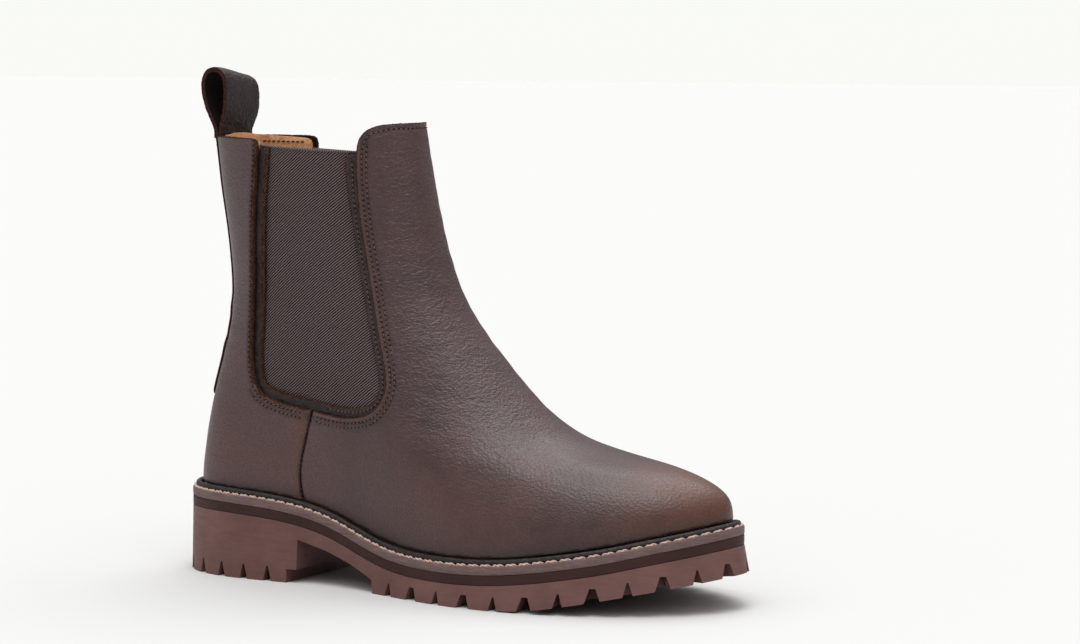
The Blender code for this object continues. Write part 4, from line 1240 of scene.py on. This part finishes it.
def lining_depth(c, t, skin=None):
    """The lining lies close under the shaft's leather, and deeper behind gores, stiffeners and strap."""
    around = np.abs((np.asarray(c) + 1) % 2 - 1)
    gore = ease((around - 0.17) / 0.08) * ease((0.84 - around) / 0.07)
    foot = ease((112 - np.asarray(t)) / 30)
    tail = ease((around - 0.84) / 0.05) * ease((np.asarray(t) - 138) / 12)
    depth = SHALLOW_LINING + (LINING_DEPTH - SHALLOW_LINING) * np.maximum(gore, foot)
    return np.maximum(depth, SHALLOW_LINING + (TAIL_LINING - SHALLOW_LINING) * tail)


def make_linings(paint, edge_paint):
    front = sheet("vamp_lining_leather", [vamp_loop(inset=1.2, feather=4.6, top=0.6)], lining_depth,
                  LINING_THICKNESS, [paint, edge_paint, paint], spacing=3.2, bevel=0.2)
    keep(front, "foot", "lining_leather", "vamp_lining")
    medial = quarter_loop(MEDIAL, 1.0, 4.6, 0.0, COLLAR_BACK_Z - 1.0)[1:-1]
    lateral = quarter_loop(LATERAL, 1.0, 4.6, 0.0, COLLAR_BACK_Z - 0.6)[1:-1]
    loop = np.concatenate([medial, lateral[::-1] + (2.0, 0.0)])
    back = sheet("back_lining_leather", [loop], lining_depth, LINING_THICKNESS, [paint, edge_paint, paint],
                 spacing=2.6, bevel=0.2)
    keep(back, "back", "lining_leather", "heel_lining", "shaft_lining")


BACKSTAY_TOP_HALF, BACKSTAY_FOOT_HALF = 0.077, 0.067
BACKSTAY_ROW = 0.018


def backstay_half(t):
    """Half the width of the strip down the back, in turns of c."""
    low, high = height_at_back(BACKSTAY_FOOT_Z), height_at_back(COLLAR_BACK_Z)
    return BACKSTAY_FOOT_HALF + (BACKSTAY_TOP_HALF - BACKSTAY_FOOT_HALF) * (t - low) / (high - low)


def backstay_depth(c, t, skin):
    from_row = np.abs(np.abs(c - 1) - backstay_half(t) + BACKSTAY_ROW)
    return -BACKSTAY_HEIGHT + 0.3 * bell(from_row, 0.004) - folds(skin)


def make_backstay(paint, edge_paint):
    low, high = height_at_back(BACKSTAY_FOOT_Z), height_at_back(COLLAR_BACK_Z)
    turn = np.linspace(-0.5, 0.5, 13) * math.pi
    foot = [(1 + BACKSTAY_FOOT_HALF * math.sin(a), low + 5 - 5 * math.cos(a)) for a in turn]
    loop = foot + [(1 + BACKSTAY_TOP_HALF, high), (1 - BACKSTAY_TOP_HALF, high)]
    strip = sheet("backstay_strip", [loop], backstay_depth, BACKSTAY_THICKNESS, [paint, edge_paint, paint],
                  spacing=1.5, rings=(EDGE_BEVEL, 1.4, 2.2), fuzz=0.14)
    keep(strip, "back", "strap_leather", "backstay_foot", "backstay")


FIBRE_COUNT = 520
FIBRE_LENGTH = 0.95
FIBRE_RADIUS = 0.11


def tufts(side, line, widths, depth, rng):
    """Short loose fibres on a cut edge. Widths are how far in from the line they root."""
    travelled = path_length(line)
    places = np.sort(rng.uniform(0, travelled[-1], FIBRE_COUNT))
    inner = offset_line(line, 1.0) - line
    roots, inward = follow(line, travelled, places), follow(inner, travelled, places)
    path, out = surface_row(locate(side, roots + inward * rng.uniform(*widths, (FIBRE_COUNT, 1))), depth)
    made = []
    for root, normal in zip(path, out):
        way = 0.55 * normal + rng.normal(0.0, 0.5, 3)
        bend = rng.normal(0.0, 0.25, 3)
        reach = np.linspace(-0.25, 1.0, 4)[:, None] * FIBRE_LENGTH * rng.uniform(0.6, 1.2)
        made.append(strand(root + reach * way + reach**2 * bend, FIBRE_RADIUS, 4))
    return made


def make_fibres(paint):
    """The fuzz of the cut edges behind and below the gores."""
    rng = np.random.default_rng(11)
    line = GORE_LINE[(GORE_LINE[:, 1] < 203) & (np.arange(len(GORE_LINE)) < SEAM_FOOT)]
    for side, word in SIDES:
        made = tufts(side, line, (0.0, 1.8), quarter_depth, rng)
        keep(add_piece("quarter_fibres_" + word, *gather(made), [paint]), "back", "leather_dark_brown")
        inner = offset_line(line, -FACING_WIDTH)
        made = tufts(side, inner, (-0.6, 0.9), facing_depth, rng)
        keep(add_piece("facing_fibres_" + word, *gather(made), [paint]), "gore", "facing_leather")


# ---------------------------------------------------------------- sewing

PITCH = 2.4
THREAD_LENGTH = 1.75
THREAD_RADIUS = 0.28
HOLE_RADIUS = 0.6
HOLE_LINE = np.outer(np.linspace(-0.5, 0.5, 5), (0.05, 0.02, 0.62))


def surface_row(located, depth):
    """Path and outward directions of a row of (c, t) places on a sheet."""
    c, t = np.asarray(located).T
    skin = SKIN(c, t)
    out = skin_normal(c, t)
    return skin - out * depth(c, t, skin)[:, None], out


def sewn_row(located, depth, pitch=PITCH, length=THREAD_LENGTH, radius=THREAD_RADIUS, lean=0.35, holes=True):
    """The threads of a row, and between them near-black dots of painted shade where the needle holes are."""
    path, out = surface_row(located, depth)
    threads = stitches(path, out, pitch, length, radius, lean)
    dots = []
    if holes:
        travelled = path_length(path)
        for i in range(int(travelled[-1] / pitch) + 1):
            place = follow(path, travelled, i * pitch) + 0.04 * follow(out, travelled, i * pitch)
            dots.append(strand(place + HOLE_LINE, HOLE_RADIUS, 6))
    return threads, dots


def add_rows(name, rows, thread_paint, hole_shade_paint, body):
    """One piece of several sewn rows."""
    threads = [one for row in rows for one in row[0]]
    dots = [one for row in rows for one in row[1]]
    verts, faces = gather(threads + dots)
    thread_faces = sum(len(one[1]) for one in threads)
    slots = [0] * thread_faces + [1] * (len(faces) - thread_faces)
    keep(add_piece(name, verts, faces, [thread_paint, hole_shade_paint], slots, 60.0), body, "welt_thread")


def vamp_row(distance, over_top):
    """Places of a row round the front panel's edge. It runs on over the tab where over_top is set."""
    edge = [tuple(p) for p in GORE_LINE[SEAM_FOOT + 3:] if p[1] < 205]
    line = resample(edge + (TAB_TOP if over_top else [(-41, 208)]), 1.0)
    line = offset_line(smooth_line(line[::3], 260), distance)
    halves = [locate(side, line) for side in (LATERAL, MEDIAL)]
    if not over_top:
        return halves
    crown = (0.0, halves[0][-1][1] + 0.2)
    bridge = [np.linspace(halves[0][-1], crown, 12)[1:], np.linspace(crown, halves[1][-1], 12)[1:-1]]
    return [np.concatenate([halves[0], *bridge, halves[1][::-1]])]


LINING_ROW = 3.0
LINING_ROW_ENDS = (-124.0, -97.5)


def make_sewing(thread_paint, hole_shade_paint, seam_paint):
    rows = [sewn_row(line, vamp_depth) for line in vamp_row(ROWS[0], True) + vamp_row(ROWS[1], False)]
    add_rows("vamp_rows", rows, thread_paint, hole_shade_paint, "foot")
    for side, word in SIDES:
        rear = GORE_LINE[:SEAM_FOOT - 2]
        rear = rear[rear[:, 1] < COLLAR_BACK_Z - 1]
        single = offset_line(rear, REAR_ROW)
        low = rear[rear[:, 1] < DOUBLE_FROM_Z]
        rows = [sewn_row(locate(side, line), quarter_depth) for line in (single, offset_line(low, ROWS[1]))]
        add_rows("quarter_rows_" + word, rows, thread_paint, hole_shade_paint, "back")
        front = GORE_LINE[SEAM_FOOT + 6:]
        front = offset_line(front[front[:, 1] < FACING_TOP_FRONT - 2], -FACING_ROW)
        rows = [sewn_row(locate(side, front), facing_depth)]
        add_rows("facing_row_" + word, rows, thread_paint, hole_shade_paint, "gore")
        seam = locate(side, SEAM_LINE)
        seam = [sewn_row(seam, lambda c, t, skin: 0.55 - folds(skin), 2.2, 1.7, 0.33, 0.9, False)]
        add_rows("side_seam_" + word, seam, seam_paint, seam_paint, "foot")
    low, high = height_at_back(BACKSTAY_FOOT_Z + 3), height_at_back(COLLAR_BACK_Z - 1)
    rows = []
    for edge in (-1, 1):
        t = np.linspace(low, high, 140)
        c = 1 + edge * (backstay_half(t) - BACKSTAY_ROW)
        rows.append(sewn_row(np.column_stack([c, t]), backstay_depth))
    add_rows("backstay_rows", rows, thread_paint, hole_shade_paint, "back")
    inner = []
    for side in (LATERAL, MEDIAL):
        line = locate(side, [(x, COLLAR_BACK_Z - LINING_ROW) for x in np.linspace(*LINING_ROW_ENDS, 60)])
        path, out = surface_row(line, lambda c, t, skin: lining_depth(c, t) + LINING_THICKNESS)
        inner.append((stitches(path - 0.15 * out, -out, PITCH, THREAD_LENGTH, 0.32, 0.3), []))
    add_rows("lining_row", inner, seam_paint, seam_paint, "back")


# ---------------------------------------------------------------- pull strap

STRAP_WIDTH = 25.0
STRAP_THICKNESS = 2.4
STRAP_COLUMNS = 19
STRAP_HINGE = (-127.0, 211.7)
STRAP_CENTRELINE = [
    (-1.3, -4.0), (-1.35, -0.6), (-3.6, 5), (-6.5, 11), (-8.2, 17), (-8.5, 22.8), (-6.6, 27.2), (-2.4, 28.9),
    (2.0, 27.2), (4.2, 22), (4.3, 15.5), (3.7, 9), (2.2, 4), (1.3, -0.6), (1.3, -4.0),
]


def make_strap(paint, edge_paint, flesh_paint):
    """A strap folded over into a loop. Its inner side edge droops and bulges forwards."""
    centre = smooth_line(STRAP_CENTRELINE, 110)
    edge_y = STRAP_WIDTH / 2 - 0.2
    across = np.linspace(-STRAP_WIDTH / 2, STRAP_WIDTH / 2, STRAP_COLUMNS)
    outline = [(y, 1.0) for y in across] + [(y, -1.0) for y in across[::-1]]
    count, sides = len(centre), len(outline)
    verts = np.empty((count, sides, 3))
    for j, (y, face) in enumerate(outline):
        line = offset_line(centre, face * (0.15 * (abs(y) > edge_y) - STRAP_THICKNESS / 2))
        share = 0.5 + y / STRAP_WIDTH
        rise = np.clip(line[:, 1] / 28.0, 0, 1.1)
        bulge = np.sin(np.pi * np.clip(rise * 0.85, 0, 1)) ** 0.6
        forward = line[:, 0] + 1.4 * share**1.5 * bulge * (line[:, 0] > -3)
        height = np.where(line[:, 1] > 0, line[:, 1] * (1 - 0.13 * share**1.3), line[:, 1])
        verts[:, j] = np.column_stack([forward, np.full(count, y), height])
    flat = verts.reshape(-1, 3)
    for i, p in enumerate(flat):
        edge = abs(p[1]) > edge_y
        flat[i] += noise.noise_vector(Vector(p) * (0.9 if edge else 0.12)) * (0.2 if edge else 0.35)
    flat += (STRAP_HINGE[0], 0.0, STRAP_HINGE[1])
    gaps = STRAP_COLUMNS - 1
    slots = ([0] * gaps + [1] + [2] * gaps + [1]) * (count - 1) + [1, 1]
    coats = [paint, edge_paint, flesh_paint]
    strap = add_piece("pull_strap", flat, tube_faces(count, sides), coats, slots, 42.0)
    keep(strap, "strap", "strap_leather", "pull_loop")


LOOSE_ENDS = [(-8.0, 0.9, 3.4), (-6.6, -0.7, 2.5), (3.5, 0.5, 2.8), (9.5, -0.6, 2.2)]


def make_loose_ends(paint):
    """A few trimmed thread ends where the strap is sewn in."""
    made = []
    for y, lean, height in LOOSE_ENDS:
        c, t = 1 + y / 150, height_at_back(COLLAR_BACK_Z) + 0.2
        foot = skin_offset(c, t, 1.6)
        rise = np.linspace(0, 1, 7)[:, None]
        made.append(strand(foot + rise * (0.6 * lean, 0.0, height) + rise**2 * (0.5, lean, -0.3), 0.14, 5))
    keep(add_piece("loose_thread_ends", *gather(made), [paint]), "shaft_back", "welt_thread")


# ---------------------------------------------------------------- inside and stage


def make_inside(lining_paint):
    """Gives the CAD nodes that stay their finished materials."""
    hidden = {
        "sock_liner": lining_paint,
        "footbed_foam": plain_stock("footbed_foam_grey", "#8b8378", "#a39b90", 0.9, 0.8),
        "insole_board": plain_stock("insole_board_tan", "#8a6b48", "#a5845d", 0.85, 1.2),
        "bottom_filler": plain_stock("pressed_cork", "#8a6238", "#b58a58", 0.9, 2.2),
        "shank": plain_stock("spring_steel", "#8f9092", "#a6a7a9", 0.35, 3.0, 1.0),
        "heel_counter": plain_stock("stiffener_board", "#a18d70", "#b7a385", 0.9, 1.5),
        "toe_puff": plain_stock("puff_board", "#a18d70", "#b7a385", 0.9, 1.5),
        "pull_loop_tail": plain_stock("strap_tail", "#2b211e", "#41332d", 0.8, 1.0),
    }
    for node, paint in hidden.items():
        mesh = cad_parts[node].data
        mesh.materials.clear()
        mesh.materials.append(paint)


BACKGROUND = "#f9faf6"
FLOOR_HALF = 12.0


def add_sun(name, direction, strength, spread):
    light = bpy.data.lights.new(name, "SUN")
    light.energy = strength
    light.angle = math.radians(spread)
    obj = bpy.data.objects.new(name, light)
    obj.rotation_euler = Vector(direction).to_track_quat("Z", "Y").to_euler()
    bpy.context.scene.collection.objects.link(obj)


def studio_world():
    """A pale backdrop. It lights the boot as a dome that is dim at the horizon and bright overhead."""
    world = bpy.data.worlds.new("studio")
    world.use_nodes = True
    tree = world.node_tree
    backdrop = tree.nodes["Background"]
    backdrop.inputs["Color"].default_value = (*srgb(BACKGROUND), 1.0)
    dome = tree.nodes.new("ShaderNodeBackground")
    split = tree.nodes.new("ShaderNodeSeparateXYZ")
    rise = tree.nodes.new("ShaderNodeMapRange")
    pick = tree.nodes.new("ShaderNodeMixShader")
    rise.inputs["To Min"].default_value = DOME_HORIZON
    rise.inputs["To Max"].default_value = DOME_TOP
    tree.links.new(tree.nodes.new("ShaderNodeTexCoord").outputs["Generated"], split.inputs[0])
    tree.links.new(split.outputs["Z"], rise.inputs["Value"])
    tree.links.new(rise.outputs[0], dome.inputs["Strength"])
    tree.links.new(tree.nodes.new("ShaderNodeLightPath").outputs["Is Camera Ray"], pick.inputs[0])
    tree.links.new(dome.outputs[0], pick.inputs[1])
    tree.links.new(backdrop.outputs[0], pick.inputs[2])
    tree.links.new(pick.outputs[0], tree.nodes["World Output"].inputs["Surface"])
    return world


def make_stage():
    scene = bpy.context.scene
    scene.view_settings.view_transform = "Standard"
    scene.view_settings.look = "None"
    scene.world = studio_world()
    bpy.ops.mesh.primitive_plane_add(size=2 * FLOOR_HALF)
    floor = bpy.context.object
    floor.name = "studio_floor"
    paint = Paint("studio_floor", "#ffffff", 0.9, 0.0)
    paint.set("Base Color", (FLOOR_ALBEDO, FLOOR_ALBEDO, FLOOR_ALBEDO * 0.98, 1.0))
    floor.data.materials.append(paint.made)
    add_sun("overhead_front", (0.08, -0.24, 0.96), OVERHEAD_FRONT, 34)
    add_sun("overhead_back", (-0.06, 0.42, 0.90), OVERHEAD_BACK, 38)
    add_sun("key", (-0.55, -0.62, 0.95), KEY, 34)
    add_sun("fill", (0.85, -0.45, 0.75), FILL, 50)


DOME_HORIZON, DOME_TOP = 0.12, 1.6
FLOOR_ALBEDO = 0.585
OVERHEAD_FRONT, OVERHEAD_BACK, KEY, FILL = 1.35, 1.0, 0.15, 0.15
CAMERA_PLACE = (0.7942, -1.2990, 0.2618)
CAMERA_TARGET = (0.0442, 0.0, 0.1258)
CAMERA_LENS = 109.2


def make_camera():
    camera = bpy.data.cameras.new("camera")
    camera.lens = CAMERA_LENS
    camera.sensor_width = 36.0
    camera.clip_start = 0.05
    obj = bpy.data.objects.new("camera", camera)
    obj.location = CAMERA_PLACE
    obj.rotation_euler = (Vector(CAMERA_PLACE) - Vector(CAMERA_TARGET)).to_track_quat("Z", "Y").to_euler()
    bpy.context.scene.collection.objects.link(obj)
    bpy.context.scene.camera = obj


def build():
    leather = outer_leather()
    cut_edge = grainy("cut_edge", RAW_EDGE, "#1b0f0c", "#643b23")
    lining = lining_leather()
    strap = strap_leather("strap_leather", "#251a1b", "#382829")
    facing = strap_leather("facing_leather", "#231819", "#3a2c2c")
    flesh = grainy("flesh_side", FLESH_SIDE, "#1a100e", "#352319")
    web = elastic_web()
    row_thread = grainy("row_thread", THREAD, "#34221e", "#8a6450")
    dark_thread = grainy("dark_thread", THREAD, "#1c1211", "#3a2823")
    # Near-black dots of painted shade for the needle holes.
    hole_shade = plain_stock("needle_hole_shade", "#0a0505", "#150c0b", 0.95, 1.0)
    strap_edge = grainy("strap_edge", RAW_EDGE, "#190e0c", "#5a3626")
    strap_inside = grainy("strap_inside", FLESH_SIDE, "#110a0a", "#2c2120")
    midsole = moulded_rubber("midsole_rubber", "#2c110e", "#371713", "#1f0a08", 0.6)
    make_outsole(moulded_rubber("outsole_rubber", "#60413d", "#704e4a", "#4a2f2b", 0.55))
    make_sole_bands(midsole, welting(), strap_leather("bead_leather", "#1b1213", "#2d2222"))
    make_welt_stitches(grainy("welt_thread", THREAD, "#a07f72", "#dcc0b2"))
    make_uppers(leather, cut_edge, flesh)
    make_gores(web, woven_edge(), facing, cut_edge, flesh)
    make_fibres(grainy("loose_fibres", RAW_EDGE, "#241511", "#6b432d"))
    make_linings(lining, grainy("lining_edge", RAW_EDGE, "#8a5a36", "#d3a679"))
    make_backstay(strap, cut_edge)
    make_strap(strap, strap_edge, strap_inside)
    make_sewing(row_thread, hole_shade, dark_thread)
    make_loose_ends(grainy("loose_thread", THREAD, "#b98d6b", "#d8b394"))
    make_inside(lining)
    make_stage()
    make_camera()


build()
